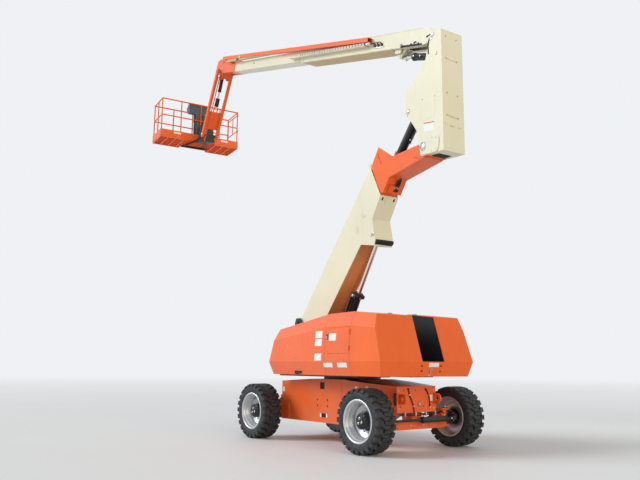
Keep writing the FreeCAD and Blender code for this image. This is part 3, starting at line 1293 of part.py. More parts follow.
def platform_support():
    """Level bracket at the jib's end that holds the rotator."""
    body = prism("support_side", "xz", (
        (-45, 30), (-45, "-link_drop - 30"), (45, "-link_drop - 30"), ("rotator_out", -110),
        ("rotator_out", 20), (60, 45),
    ), *both("cheek_half - 5"))
    house = cylinder("rotator_housing", "z", "rotator_radius", -120, "rotator_top", ("rotator_out", "0"))
    bore = cylinder("rotator_bore", "z", "30 + pin_gap", -200, 200, ("rotator_out", "0"))
    pieces = [cut("support_shell", fuse("support_solid", body, house), bore)]
    arm_in = "jib_half - jib_arm_thick / 2 - pin_gap"
    for side_name, sign, way in SIDES:
        low, high = side_span(sign, "cheek_half - 10", arm_in)
        pieces.append(cylinder("support_boss_" + side_name, "y", "knuckle_pin + 15", low, high, ("0", "0")))
    pieces.append(cylinder("support_pin", "y", "knuckle_pin", *both("jib_half + jib_arm_thick / 2 + 8"),
                           ("0", "0")))
    pieces.append(cylinder("link_pin_low", "y", "18", *both("link_side + 20"), ("0", "-link_drop")))
    return node(fuse("platform_support_body", *pieces), "platform_support", support_frame)


def platform_mount():
    """Rotating cap, bracket, post and the two arms under the platform floor."""
    top = "rotator_top + pin_gap"
    under = "platform_low - seat_gap"
    cap = cylinder("mount_cap", "z", "rotator_radius - 5", top, "platform_low + 60", ("0", "0"))
    spindle = cylinder("mount_spindle", "z", 30, -130, "platform_low", ("0", "0"))
    bracket = box("mount_bracket", (0, "platform_gap - seat_gap"), (-95, 95),
                  ("platform_low", "platform_low + 55"))
    edge = "platform_gap - seat_gap"
    web = box("mount_web", ("cheek_half + 5", edge), (-95, 95), (0, "platform_low + 1"))
    tip = box("mount_web_tip", (edge + " - 1", "platform_gap + 60"), (-95, 95), (0, under))
    post = cylinder("mount_post", "z", 45, "platform_low", "platform_low + 475",
                    ("platform_gap - 50", "0"))
    arms = []
    for number, (inset, tip_y, root_y) in enumerate(((0, 330, 60), (50, -390, -60))):
        tip_x = "platform_gap + platform_wide - mount_arm_inset - %d" % inset
        arms.append(prism("mount_arm_%d" % number, "xy", (
            (200, root_y - 30), (tip_x, tip_y - 22), (tip_x, tip_y + 22), (200, root_y + 30),
        ), "8", under))
    item = fuse("platform_mount_body", cap, spindle, bracket, web, tip, post, *arms)
    return node(item, "platform_mount", platform_frame)


def platform_floor():
    """Floor plate with toe boards."""
    x_low, x_high = "platform_gap", "platform_gap + platform_wide"
    half = "platform_long / 2"
    pieces = [box("floor_plate", (x_low, x_high), both(half),
                  ("platform_low", "platform_low + platform_floor"))]
    tall = ("platform_low", "platform_low + toe_high")
    for name, x, y in (
        ("near", (x_low, x_low + " + toe_thick"), both(half)),
        ("far", (x_high + " - toe_thick", x_high), both(half)),
        ("right", (x_low, x_high), ("-" + half, "-" + half + " + toe_thick")),
        ("left", (x_low, x_high), (half + " - toe_thick", half)),
    ):
        pieces.append(box("toe_board_" + name, x, y, tall))
    return node(fuse("platform_floor_body", *pieces), "platform_floor", platform_frame)


RAIL_IN = "(toe_thick + rail_radius + seat_gap)"
# In the platform frame -Y is the machine's left, where the gate is
GATE_SIDE = "-platform_long / 2 + " + RAIL_IN
FAR_SIDE = "platform_long / 2 - " + RAIL_IN
NEAR_X = "platform_gap + " + RAIL_IN
FAR_X = "platform_gap + platform_wide - " + RAIL_IN


def platform_rails():
    """Guard rails: top and middle rails on three sides, posts, and the top rail over the gate."""
    low = "platform_low + platform_floor + seat_gap"
    top = "platform_low + rail_high - rail_radius"
    middle = "platform_low + mid_rail_high"
    # Tubes that meet differ a little in radius: rails along the platform, posts, rails across it
    along, upright_tube, across = "rail_radius", "rail_radius - 1", "rail_radius - 2"
    pieces = []
    for name, x in (("near", NEAR_X), ("far", FAR_X)):
        for number, y in enumerate((GATE_SIDE, "-platform_long / 4", "0", "platform_long / 4", FAR_SIDE)):
            pieces.append(cylinder("rail_post_%s_%d" % (name, number), "z", upright_tube, low, top,
                                   (x, y)))
        pieces.append(cylinder("rail_top_" + name, "y", along, GATE_SIDE + " - rail_radius",
                               FAR_SIDE + " + rail_radius", (x, top)))
        pieces.append(cylinder("rail_middle_" + name, "y", across, GATE_SIDE, FAR_SIDE, (x, middle)))
    for name, y, z, radius in (
        ("top_end", FAR_SIDE, top, across), ("top_gate", GATE_SIDE, top, across),
        ("middle_end", FAR_SIDE, middle, "rail_radius - 3"),
    ):
        pieces.append(cylinder("rail_" + name, "x", radius, NEAR_X, FAR_X, (y, z)))
    pieces.append(cylinder("rail_post_end", "z", upright_tube, low, top,
                           ("platform_gap + platform_wide / 2", FAR_SIDE)))
    return node(fuse("platform_rails_body", *pieces), "platform_rails", platform_frame)


# Heights of the gate's two bars above the platform's underside
GATE_LEVELS = (("low", 540), ("high", 1060))


def gate():
    """Swinging gate in the platform's left end, hinged on the corner post by the boom."""
    reach = FAR_X + " - rail_radius - 8 - gate_bar"
    pieces = []
    holes = []
    for level, height in GATE_LEVELS:
        z = "platform_low + %d" % height
        pieces.append(cylinder("gate_bar_" + level, "x", "gate_bar", NEAR_X, reach + " + gate_bar",
                               (GATE_SIDE, z)))
        pieces.append(cylinder("gate_ring_" + level, "z", "rail_radius + 9", z + " - 30", z + " + 30",
                               (NEAR_X, GATE_SIDE)))
        holes.append(cylinder("gate_ring_hole_" + level, "z", "rail_radius - 1 + pin_gap", z + " - 40",
                              z + " + 40", (NEAR_X, GATE_SIDE)))
    low, high = ("platform_low + %d" % height for level, height in GATE_LEVELS)
    for number, x in enumerate((reach, "(%s + %s) / 2" % (reach, NEAR_X))):
        pieces.append(cylinder("gate_upright_%d" % number, "z", "gate_bar - 1",
                               "platform_low + toe_high + 60" if number == 0 else low,
                               high, (x, GATE_SIDE)))
    return node(cut("gate_cut", fuse("gate_solid", *pieces), *holes), "gate", platform_frame)


def console():
    """Platform controls: sloped box hung inside the rail by the boom."""
    back = NEAR_X + " + rail_radius + seat_gap"
    top = "platform_low + rail_high + 10"
    box_body = prism("console_side", "xz", (
        (back, top + " - 330"), (back, top), (back + " + 60", top),
        (back + " + 250", top + " - 110"), (back + " + 250", top + " - 200"),
        (back + " + 120", top + " - 330"),
    ), "-250", "360")
    column = box("console_column", (back, back + " + 70"), (-40, 150),
                 ("platform_low + platform_floor + seat_gap", top + " - 320"))
    item = fuse("console_body", box_body, column)
    return node(item, "control_console", platform_frame)


# Build
chassis()
fixed_axle()
steer_axle()
for side in SIDES:
    knuckle(*side)
tie_rod()
steer_cylinder()
for end, x in (("front", size("wheel_base") / 2), ("rear", -size("wheel_base") / 2)):
    for side_name, sign, way in SIDES:
        place = wheel_frame(x, way)
        tyre("tyre_%s_%s" % (end, side_name), place)
        rim("rim_%s_%s" % (end, side_name), place)
slew_ring()
turntable()
skin = body_shell()
for side in SIDES:
    hood(skin, *side)
side_covers(skin)
control_door()
counterweight()
engine()
tank()
tower_base()
tower_fly()
upright()
boom_base()
cable_tray()
power_track()
boom_fly()
boom_head()
push_tube()
rams()
jib_knuckle()
jib_arm()
jib_link()
platform_support()
platform_mount()
platform_floor()
platform_rails()
gate()
console()
doc.recompute()

# Check every object, then write each piece
for item in doc.Objects:
    if "Invalid" in item.State or "Error" in item.State:
        raise RuntimeError("not built: " + item.Name)
os.makedirs("parts", exist_ok=True)
for item in NODES:
    if item.Shape.isNull() or not item.Shape.isValid():
        raise RuntimeError("bad shape: " + item.Label)
    if not item.Shape.Solids:
        raise RuntimeError("no solid: " + item.Label)
    item.Shape.exportStep("parts/%s.step" % item.Label)
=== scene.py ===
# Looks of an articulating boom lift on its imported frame. Metres, +X ahead, +Y left, +Z up

import json
import math

import bmesh
import bpy
from mathutils import Matrix, Vector

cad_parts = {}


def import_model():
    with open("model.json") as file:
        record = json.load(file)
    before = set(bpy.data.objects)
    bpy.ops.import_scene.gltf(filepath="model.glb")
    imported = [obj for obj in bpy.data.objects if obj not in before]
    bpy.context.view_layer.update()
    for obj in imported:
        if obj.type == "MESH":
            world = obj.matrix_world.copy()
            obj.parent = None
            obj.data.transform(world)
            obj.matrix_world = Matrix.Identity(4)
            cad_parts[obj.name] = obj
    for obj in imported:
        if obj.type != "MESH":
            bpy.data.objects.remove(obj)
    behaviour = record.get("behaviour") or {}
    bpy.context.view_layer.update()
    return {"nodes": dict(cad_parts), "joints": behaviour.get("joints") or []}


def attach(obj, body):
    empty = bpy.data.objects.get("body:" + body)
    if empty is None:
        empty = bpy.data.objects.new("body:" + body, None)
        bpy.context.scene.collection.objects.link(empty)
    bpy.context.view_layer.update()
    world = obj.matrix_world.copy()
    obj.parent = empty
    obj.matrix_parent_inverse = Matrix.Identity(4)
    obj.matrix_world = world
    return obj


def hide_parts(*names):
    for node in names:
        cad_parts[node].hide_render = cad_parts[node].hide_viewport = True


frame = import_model()
joints = {joint["name"]: joint for joint in frame["joints"]}

# Camera at the photograph's place, angles in degrees
CAMERA_AT = (9.5867, -8.1621, 1.3281)
CAMERA_AZIMUTH = 52.357
CAMERA_RISE = 10.638
CAMERA_ROLL = 0.351
CAMERA_LENS = 37.84

# Colours, linear
ORANGE = (0.84, 0.118, 0.010)
# The counterweight's orange, made brighter and yellower with painted warm light
ORANGE_WEIGHT_PAINTED_LIGHT = (0.84, 0.130, 0.014)
ORANGE_SHADOW = (0.52, 0.060, 0.006)
CREAM = (0.76, 0.72, 0.54)
# Cream darkened to tan: painted shade for cream faces and parts that lie in shade
CREAM_PAINTED_SHADE = (0.56, 0.40, 0.18)
BLACK = (0.012, 0.012, 0.014)
SATIN_BLACK = (0.018, 0.018, 0.021)
SILVER = (0.55, 0.57, 0.59)
CHROME = (0.75, 0.76, 0.78)
ZINC = (0.50, 0.49, 0.46)
RUBBER = (0.019, 0.021, 0.026)
SCUFFED = (0.085, 0.090, 0.100)
HOSE = (0.013, 0.013, 0.014)
WHITE = (0.80, 0.80, 0.78)
GREY = (0.085, 0.100, 0.125)
SLATE = (0.060, 0.060, 0.070)
TRACK = (0.72, 0.70, 0.62)
PRIMER = (0.35, 0.30, 0.26)
DUST = (0.36, 0.31, 0.25)
RED = (0.55, 0.02, 0.01)
# Orange-tan for the tower's channel: painted bounce light and shade
CHANNEL_PAINTED_BOUNCE = (0.70, 0.31, 0.11)


# Frames that the pieces are placed in

def axis(joint):
    """A joint's axis at rest."""
    return Vector(joints[joint]["axis"]).normalized()


def pivot(joint):
    """A joint's place at rest."""
    return Vector(joints[joint]["pos_m"])


def place(origin, along, across):
    """The matrix of a frame with +X along and +Y across."""
    matrix = Matrix((along, across, along.cross(across))).transposed().to_4x4()
    matrix.translation = origin
    return matrix


def at_side(y, spots):
    """Places on a side wall, from pairs (x, z)."""
    return [(x, y, z) for x, z in spots]


def at_end(x, spots):
    """Places on a front or rear wall, from pairs (y, z)."""
    return [(x, y, z) for y, z in spots]


UP = Vector((0, 0, 1))
FRONT = Vector((1, 0, 0))
SIDE = Vector((0, 1, 0))
SIDES = ((-1, -SIDE), (1, SIDE))
LEFT = -axis("tower_lift")
AHEAD = LEFT.cross(UP)
PLATFORM_YAW = math.radians(-2.1)
PLATFORM_TURN = Matrix.Rotation(PLATFORM_YAW, 3, "Z")
FRAMES = {
    "chassis": Matrix(),
    "turntable": place(Vector(), AHEAD, LEFT),
    "tower": place(pivot("tower_lift"), axis("tower_telescope"), LEFT),
    "upright": place(pivot("upright_level"), AHEAD, LEFT),
    "boom": place(pivot("main_lift"), axis("boom_telescope"), -LEFT),
    "jib_knuckle": place(pivot("knuckle_level"), -AHEAD, -LEFT),
    "jib_arm": place(pivot("jib_lift"), (pivot("support_level") - pivot("jib_lift")).normalized(), -LEFT),
    "platform": place(pivot("platform_rotate"), PLATFORM_TURN @ -AHEAD, PLATFORM_TURN @ -LEFT),
}
for ram, across in (("tower", LEFT), ("level", LEFT), ("boom", -LEFT), ("jib", -LEFT)):
    FRAMES[ram + "_barrel"] = place(pivot(ram + "_barrel_hinge"), axis(ram + "_rod_slide"), across)
SAME_FRAME = {
    "tie_rod": "chassis", "knuckle_left": "chassis", "knuckle_right": "chassis", "tower_fly": "tower",
    "boom_fly": "boom", "hood_right": "turntable", "control_door": "turntable", "jib_rod": "jib_barrel",
}
WHEELS = ("front_left", "front_right", "rear_left", "rear_right")
for corner in WHEELS:
    outward = 1 if corner.endswith("left") else -1
    FRAMES["wheel_" + corner] = place(pivot("wheel_" + corner + "_spin"), UP, outward * FRONT)
for body, base in SAME_FRAME.items():
    FRAMES[body] = FRAMES[base]


# Materials

# Noise patterns: scale, detail, and the values where it starts and is full
BLOTCHES = (1.1, 5, 0.35, 0.65)
SPECKS = (34, 6, 0.42, 0.62)
RUNS = (5, 4, 0.52, 0.75)
CHIPS = (22, 5, 0.5, 0.62)
DIRT = (3.2, 7, 0.3, 0.7)
RUBS = (7, 6, 0.3, 0.7)
TYRE_BLOTCHES = (6, 7, 0.35, 0.7)
TYRE_DIRT = (14, 8, 0.45, 0.75)
TYRE_SCUFFS = (30, 4, 0.42, 0.6)
TYRE_RUBS = (20, 4, 0.3, 0.7)
RUN_STRETCH = (5.0, 5.0, 0.35)
# The agreement of the bevelled and the true normal on a flat and on a sharp edge
FLAT_AGREES = 0.995
EDGE_AGREES = 0.88


def feed(node, inputs):
    """Set or link some inputs of a node, by their names or numbers."""
    for key, value in inputs.items():
        socket = node.inputs[key]
        if isinstance(value, bpy.types.NodeSocket):
            node.id_data.links.new(value, socket)
        else:
            socket.default_value = value + (1,) if socket.type == "RGBA" else value


def new_node(tree, kind, inputs=None, **settings):
    """A new shader node with some of its inputs and properties set."""
    made = tree.nodes.new("ShaderNode" + kind)
    for key, value in settings.items():
        setattr(made, key, value)
    feed(made, inputs or {})
    return made


class Look:
    """A node material built step by step."""

    def __init__(self, name):
        self.material = bpy.data.materials.new(name)
        self.material.use_nodes = True
        self.tree = self.material.node_tree
        self.tree.nodes.clear()
        self.shader = self.node("BsdfPrincipled")
        self.output = self.node("OutputMaterial", {"Surface": self.shader.outputs["BSDF"]})
        self.place = self.node("TexCoord").outputs["Object"]

    def node(self, kind, inputs=None, **settings):
        """A new shader node in the material."""
        return new_node(self.tree, kind, inputs, **settings)

    def noise(self, scale, detail, stretch=None):
        """A noise value over the piece, finer with a larger scale, stretched along some axes."""
        source = self.place
        if stretch:
            source = self.node("Mapping", {"Scale": stretch, "Vector": source}).outputs["Vector"]
        made = self.node("TexNoise", {"Scale": scale, "Detail": detail, "Vector": source})
        return made.outputs["Fac"]

    def spread(self, value, low, high, to_low=0.0, to_high=1.0):
        """A value's range from low to high moved to another range."""
        made = self.node("MapRange", {"From Min": low, "From Max": high, "To Min": to_low,
                                      "To Max": to_high, "Value": value})
        return made.outputs["Result"]

    def patches(self, pattern, to_low=0.0, to_high=1.0, stretch=None):
        """A noise pattern as a value from to_low to to_high."""
        scale, detail, low, high = pattern
        return self.spread(self.noise(scale, detail, stretch), low, high, to_low, to_high)

    def times(self, first, second):
        """The product of two values."""
        return self.node("Math", {0: first, 1: second}, operation="MULTIPLY").outputs["Value"]

    def blend(self, share, first, second):
        """A colour between two colours, each a tuple or an output."""
        return self.node("Mix", {0: share, 6: first, 7: second}, data_type="RGBA").outputs[2]

    def edges(self, radius):
        """How sharp the edge is near a point, from 0 on a flat to 1."""
        bevel = self.node("Bevel", {"Radius": radius}, samples=4)
        flat = self.node("NewGeometry")
        dot = self.node("VectorMath", {0: bevel.outputs["Normal"], 1: flat.outputs["Normal"]},
                        operation="DOT_PRODUCT")
        return self.spread(dot.outputs["Value"], FLAT_AGREES, EDGE_AGREES)

    def height(self, low, high):
        """From 1 at a low place on the piece to 0 at a high one."""
        split = self.node("SeparateXYZ", {"Vector": self.place})
        return self.spread(split.outputs["Z"], low, high, 1.0, 0.0)

    def bump(self, value, depth, strength=1.0, under=None):
        """A bump of a depth in metres, on top of another one where given."""
        inputs = {"Distance": depth, "Strength": strength, "Height": value}
        if under is not None:
            inputs["Normal"] = under
        return self.node("Bump", inputs).outputs["Normal"]


def shade(colour, factor):
    """A colour made lighter or darker."""
    return tuple(min(1.0, channel * factor) for channel in colour)


def painted(name, colour, rough=0.38, coat=0.12, metal=0.0, mottle=0.05, streaks=0.0, wear=None,
            dust=0.0, dust_top=1.2, grain=260.0, dent=0.0, gloss=0.35):
    """Paint, metal or plastic with blotches, streaks, worn edges, dust and a fine grain."""
    look = Look(name)
    shown = look.blend(look.patches(BLOTCHES), shade(colour, 1 - mottle), shade(colour, 1 + mottle))
    shown = look.blend(look.times(look.patches(SPECKS), 0.7 * mottle), shown, shade(colour, 0.6))
    if streaks:
        runs = look.patches(RUNS, stretch=RUN_STRETCH)
        shown = look.blend(look.times(runs, streaks), shown, shade(colour, 0.62))
    if wear:
        chipped = look.times(look.edges(0.006), look.patches(CHIPS))
        shown = look.blend(look.times(chipped, 0.7), shown, wear)
    if dust:
        settled = look.times(look.height(0.15, dust_top), look.patches(DIRT))
        shown = look.blend(look.times(settled, dust), shown, DUST)
    normal = look.bump(look.noise(grain, 2), 0.0004, 0.35)
    if dent:
        normal = look.bump(look.noise(2.3, 2), dent, 1.0, normal)
    feed(look.shader, {
        "Base Color": shown, "Roughness": look.patches(RUBS, rough - 0.07, rough + 0.09),
        "Metallic": metal, "Specular IOR Level": gloss, "Coat Weight": coat, "Coat Roughness": 0.12,
        "Normal": normal,
    })
    return look.material


LOOKS = {
    "orange": painted("orange_paint", ORANGE, wear=PRIMER, streaks=0.10, dust=0.22, dust_top=1.3),
    "orange_high": painted("orange_paint_high", ORANGE, wear=PRIMER, streaks=0.08),
    "cover": painted("orange_cover", ORANGE, rough=0.30, coat=0.35, dent=0.006, streaks=0.05, gloss=0.45),
    "weight": painted("weight_paint", ORANGE_WEIGHT_PAINTED_LIGHT, rough=0.45, coat=0.1, grain=90.0, streaks=0.08,
                      wear=PRIMER),
    "cream": painted("cream_paint", CREAM, rough=0.42, streaks=0.12, mottle=0.035, wear=PRIMER),
    "painted_shade_cream": painted("cream_paint_painted_shade", CREAM_PAINTED_SHADE, rough=0.5, streaks=0.2),
    "black": painted("black_paint", SATIN_BLACK, rough=0.42, coat=0.05, mottle=0.2, dust=0.12, dust_top=0.9),
    "silver": painted("silver_paint", SILVER, rough=0.36, metal=0.55, mottle=0.06, dust=0.30,
                      dust_top=0.8, wear=PRIMER),
    "zinc": painted("zinc_bolt", ZINC, rough=0.35, metal=0.9, mottle=0.15),
    "chrome": painted("rod_chrome", CHROME, rough=0.14, coat=0.0, metal=1.0, mottle=0.02),
    "hose": painted("hose_rubber", HOSE, rough=0.5, coat=0.0, mottle=0.2, grain=700.0),
    "white": painted("blank_plate", WHITE, rough=0.4, mottle=0.03),
    "grey": painted("console_plastic", GREY, rough=0.5, coat=0.05, mottle=0.08, grain=500.0),
    "dark": painted("engine_grey", BLACK, rough=0.6, coat=0.0, mottle=0.2),
    "track": painted("track_plastic", TRACK, rough=0.55, coat=0.0, mottle=0.06),
    "red": painted("switch_red", RED, rough=0.3, coat=0.4),
    "hub": painted("hub_black", SATIN_BLACK, rough=0.5, coat=0.05, mottle=0.25, grain=400.0),
    "black_and_painted_shade": painted("black_fill_and_painted_shade", BLACK, rough=0.7, coat=0.0, mottle=0.2),
    "painted_bounce": painted("channel_painted_bounce", CHANNEL_PAINTED_BOUNCE, rough=0.55, coat=0.0, streaks=0.2, mottle=0.08),
    "slate": painted("console_slate", SLATE, rough=0.55, coat=0.0, mottle=0.1, grain=500.0),
    "painted_shadow_orange": painted("orange_painted_shadow", ORANGE_SHADOW, rough=0.5, coat=0.0, mottle=0.08),
}


def tyre_look():
    """Rubber with blotches, a little dust, lighter scuffed edges and a fine bump."""
    look = Look("tyre_rubber")
    shown = look.blend(look.patches(TYRE_BLOTCHES), shade(RUBBER, 0.85), shade(RUBBER, 1.2))
    shown = look.blend(look.times(look.patches(TYRE_DIRT), 0.06), shown, DUST)
    scuffed = look.times(look.edges(0.008), look.patches(TYRE_SCUFFS))
    shown = look.blend(look.times(scuffed, 0.5), shown, SCUFFED)
    feed(look.shader, {
        "Base Color": shown, "Roughness": look.patches(TYRE_RUBS, 0.62, 0.85),
        "Normal": look.bump(look.noise(180, 4), 0.0012, 0.5),
    })
    return look.material


LOOKS["tyre"] = tyre_look()

# The kept solids of each look
NODE_LOOKS = {
    "orange": "chassis_frame fixed_axle steer_axle",
    "orange_high": "tower_fly boom_head push_tube jib_knuckle jib_arm jib_link platform_floor "
                   "platform_rails gate",
    "cover": "side_covers hood_left hood_right control_door",
    "weight": "counterweight",
    "cream": "tower_base upright boom_base cable_tray boom_fly",
    "black": "steer_cylinder slew_ring knuckle_left knuckle_right tie_rod turntable_frame tank "
             "tower_barrel level_barrel boom_barrel jib_barrel platform_support platform_mount",
    "chrome": "tower_rod level_rod boom_rod jib_rod",
    "dark": "engine",
    "track": "power_track",
    "grey": "control_console",
    "tyre": " ".join("tyre_" + corner for corner in WHEELS),
    "silver": " ".join("rim_" + corner for corner in WHEELS),
}
for look, nodes in NODE_LOOKS.items():
    for node in nodes.split():
        slots = frame["nodes"][node].data.materials
        slots.clear()
        slots.append(LOOKS[look])


# Pieces

def put(name, data):
    """A new object in the scene."""
    item = bpy.data.objects.new(name, data)
    bpy.context.scene.collection.objects.link(item)
    return item


def spot(angle, radius, along):
    """A point at an angle and radius about +Z."""
    return Vector((radius * math.cos(angle), radius * math.sin(angle), along))


class Piece:
    """Meshes collected in one body's frame, in metres, each with its own look."""

    def __init__(self, name, body):
        self.name = name
        self.body = body
        self.mesh = bmesh.new()
        self.looks = []

    def finish(self, before, look, smooth, turn_out=False):
        """Give the faces that weren't there before their look, turned outward where asked."""
        made = set(self.mesh.faces) - before
        if turn_out:
            bmesh.ops.recalc_face_normals(self.mesh, faces=list(made))
        if look not in self.looks:
            self.looks.append(look)
        for face in made:
            face.material_index = self.looks.index(look)
            face.smooth = smooth

    def block(self, low, high, look, bevel=0.004, turn=None):
        """A box with rounded edges between two opposite corners, turned about its middle."""
        spans = [sorted(pair) for pair in zip(low, high)]
        low, high = (Vector([span[end] for span in spans]) for end in (0, 1))
        middle = (low + high) / 2
        matrix = Matrix.Translation(middle) @ (turn or Matrix()) @ Matrix.Diagonal((*(high - low), 1))
        before = set(self.mesh.faces)
        made = bmesh.ops.create_cube(self.mesh, size=1, matrix=matrix)
        edges = {edge for vert in made["verts"] for edge in vert.link_edges}
        if bevel:
            bmesh.ops.bevel(self.mesh, geom=list(edges), offset=min(bevel, min(high - low) * 0.45),
                            segments=2, profile=0.5, affect="EDGES")
        self.finish(before, look, False)

    def turned(self, at, along, profile, look, sides=24, smooth=True, closed=False):
        """A solid of revolution; profile is (distance along, radius), open with caps or closed."""
        turn = UP.rotation_difference(Vector(along).normalized()).to_matrix()
        start = Vector(at)
        angles = [2 * math.pi * step / sides for step in range(sides)]
        before = set(self.mesh.faces)
        self.skin([[self.mesh.verts.new(start + turn @ spot(angle, radius, distance)) for angle in angles]
                   for distance, radius in profile], closed)
        self.finish(before, look, smooth, True)

    def skin(self, rings, closed=False):
        """Faces between rings of vertices, with caps at both ends or joined in a loop."""
        for low, high in zip(rings, rings[1:] + rings[:1] if closed else rings[1:]):
            for step in range(len(low)):
                after = (step + 1) % len(low)
                self.mesh.faces.new((low[step], low[after], high[after], high[step]))
        if not closed:
            self.mesh.faces.new(list(reversed(rings[0])))
            self.mesh.faces.new(rings[-1])

    def loft(self, sections, look):
        """A solid through sections of as many points each."""
        before = set(self.mesh.faces)
        self.skin([[self.mesh.verts.new(point) for point in section] for section in sections])
        self.finish(before, look, False, True)

    def round(self, at, along, radius, long, look, edge=0.003, sides=24):
        """A short cylinder with a rounded outer edge."""
        edge = min(edge, radius * 0.4, long * 0.4)
        profile = ((0, radius), (long - edge, radius), (long - edge * 0.3, radius - edge * 0.3),
                   (long, radius - edge))
        self.turned(at, along, profile, look, sides)

    def ring(self, at, along, outer, inner, long, look):
        """A flat ring with a recessed middle."""
        edge = (outer - inner) * 0.2
        profile = ((0, outer), (long - edge, outer), (long, outer - edge), (long, inner + edge),
                   (long - edge, inner), (long * 0.2, inner))
        self.turned(at, along, profile, look, 32)

    def bolt(self, at, along, size, look="zinc"):
        """A washer and a hexagon head; size is the head's width across its flats."""
        across = size / 2 / math.cos(math.pi / 6)
        self.turned(at, along, ((0, size * 0.95), (size * 0.1, size * 0.95), (size * 0.16, size * 0.88)),
                    look, 18)
        base = Vector(at) + Vector(along).normalized() * size * 0.14
        self.turned(base, along, ((0, across), (size * 0.42, across), (size * 0.52, across * 0.82)),
                    look, 6, False)

    def sweep(self, points, radius, look, round_steps=2):
        """A round line along a NURBS route."""
        curve = bpy.data.curves.new("route", "CURVE")
        curve.dimensions = "3D"
        curve.bevel_depth = radius
        curve.bevel_resolution = round_steps
        curve.resolution_u = 5
        curve.use_fill_caps = True
        spline = curve.splines.new("NURBS")
        spline.points.add(len(points) - 1)
        for knot, point in zip(spline.points, points):
            knot.co = (*point, 1)
        spline.order_u = min(3, len(points))
        spline.use_endpoint_u = True
        route = bpy.data.objects.new("route", curve)
        tube = bpy.data.meshes.new_from_object(route)
        before = set(self.mesh.faces)
        self.mesh.from_mesh(tube)
        self.finish(before, look, True)
        bpy.data.meshes.remove(tube)
        bpy.data.objects.remove(route)
        bpy.data.curves.remove(curve)

    def plate(self, corners, normal, thick, look, bevel=0.002):
        """A flat plate from its corners, thickened along a normal, with a rounded rim."""
        rise = Vector(normal).normalized() * thick
        before = set(self.mesh.faces)
        low = [self.mesh.verts.new(Vector(corner)) for corner in corners]
        high = [self.mesh.verts.new(Vector(corner) + rise) for corner in corners]
        self.skin([low, high])
        made = list(set(self.mesh.faces) - before)
        bmesh.ops.recalc_face_normals(self.mesh, faces=made)
        if bevel:
            top = next(face for face in made if set(face.verts) == set(high))
            bmesh.ops.bevel(self.mesh, geom=list(top.edges), offset=min(bevel, thick * 0.45),
                            segments=1, affect="EDGES")
        self.finish(before, look, False)

    def tag(self, at, normal, wide, high, look="white", thick=0.003, bevel=0.001):
        """A small flat plate centred on a place of a surface."""
        normal = Vector(normal).normalized()
        above = (UP - normal * UP.dot(normal)).normalized()
        across = above.cross(normal)
        corners = [
            Vector(at) + across * wide * a / 2 + above * high * b / 2
            for a, b in ((-1, -1), (1, -1), (1, 1), (-1, 1))
        ]
        self.plate(corners, normal, thick, look, bevel)

    def bolts(self, places, along, size, look="zinc"):
        """Like bolts on one face."""
        for at in places:
            self.bolt(at, along, size, look)

    def done(self, replaces=()):
        """Make the object on its body, in the place of the named solids."""
        mesh = bpy.data.meshes.new(self.name)
        self.mesh.transform(FRAMES[self.body])
        self.mesh.to_mesh(mesh)
        self.mesh.free()
        item = put(self.name, mesh)
        for look in self.looks:
            mesh.materials.append(LOOKS[look])
        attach(item, self.body)
        if replaces:
            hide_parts(*replaces)


# Wheels. Their frames have +Z along the axle, outward

# A lug's sections: place along the axle, radius, shift round the tyre and width, then its foot's
# place along the axle and radius
LUG_SECTIONS = (
    (0.1885, 0.430, 0.0, 0.066, 0.165, 0.436),
    (0.1925, 0.455, 0.0, 0.070, 0.162, 0.450),
    (0.1860, 0.486, 0.0, 0.074, 0.152, 0.460),
    (0.1660, 0.497, 0.0, 0.076, 0.140, 0.466),
    (0.1200, 0.500, 0.0, 0.074, 0.120, 0.468),
    (0.0450, 0.500, 0.066, 0.060, 0.045, 0.470),
    (-0.0560, 0.500, 0.066, 0.046, -0.052, 0.470),
)
LUG_FOOT = 0.012
LUGS = 24
TYRE_RADIUS = 0.5
# Half of the carcass, then the rim and the hub: place along the axle, radius
CARCASS = (
    (0.150, 0.318), (0.168, 0.328), (0.176, 0.338), (0.175, 0.348), (0.180, 0.356), (0.187, 0.378),
    (0.189, 0.405), (0.185, 0.432), (0.172, 0.455), (0.140, 0.467), (0.0, 0.473),
)
RIM = (
    (0.160, 0.3176), (0.164, 0.333), (0.171, 0.338), (0.178, 0.334), (0.180, 0.322), (0.176, 0.306),
    (0.160, 0.300), (0.128, 0.298), (0.122, 0.286), (0.116, 0.282), (0.052, 0.279), (0.047, 0.270),
    (0.006, 0.266), (-0.012, 0.252), (-0.0225, 0.232), (-0.0225, 0.118), (-0.034, 0.118),
    (-0.034, 0.236), (-0.028, 0.262), (-0.050, 0.298), (-0.172, 0.304), (-0.180, 0.322),
    (-0.171, 0.338), (-0.160, 0.3176),
)
HUB = (
    (-0.0225, 0.132), (-0.012, 0.132), (-0.008, 0.124), (0.040, 0.124), (0.044, 0.118), (0.052, 0.118),
    (0.056, 0.125), (0.094, 0.125), (0.100, 0.118), (0.102, 0.084), (0.106, 0.078), (0.122, 0.076),
    (0.127, 0.070),
)
# Rings of bolts: count, radius, place along the axle, size, look
RIM_BOLTS = (
    (10, 0.165, -0.0225, 0.027, "zinc"), (12, 0.103, 0.1005, 0.017, "hub"),
    (3, 0.045, 0.1265, 0.022, "zinc"), (12, 0.1245, -0.010, 0.012, "hub"),
)


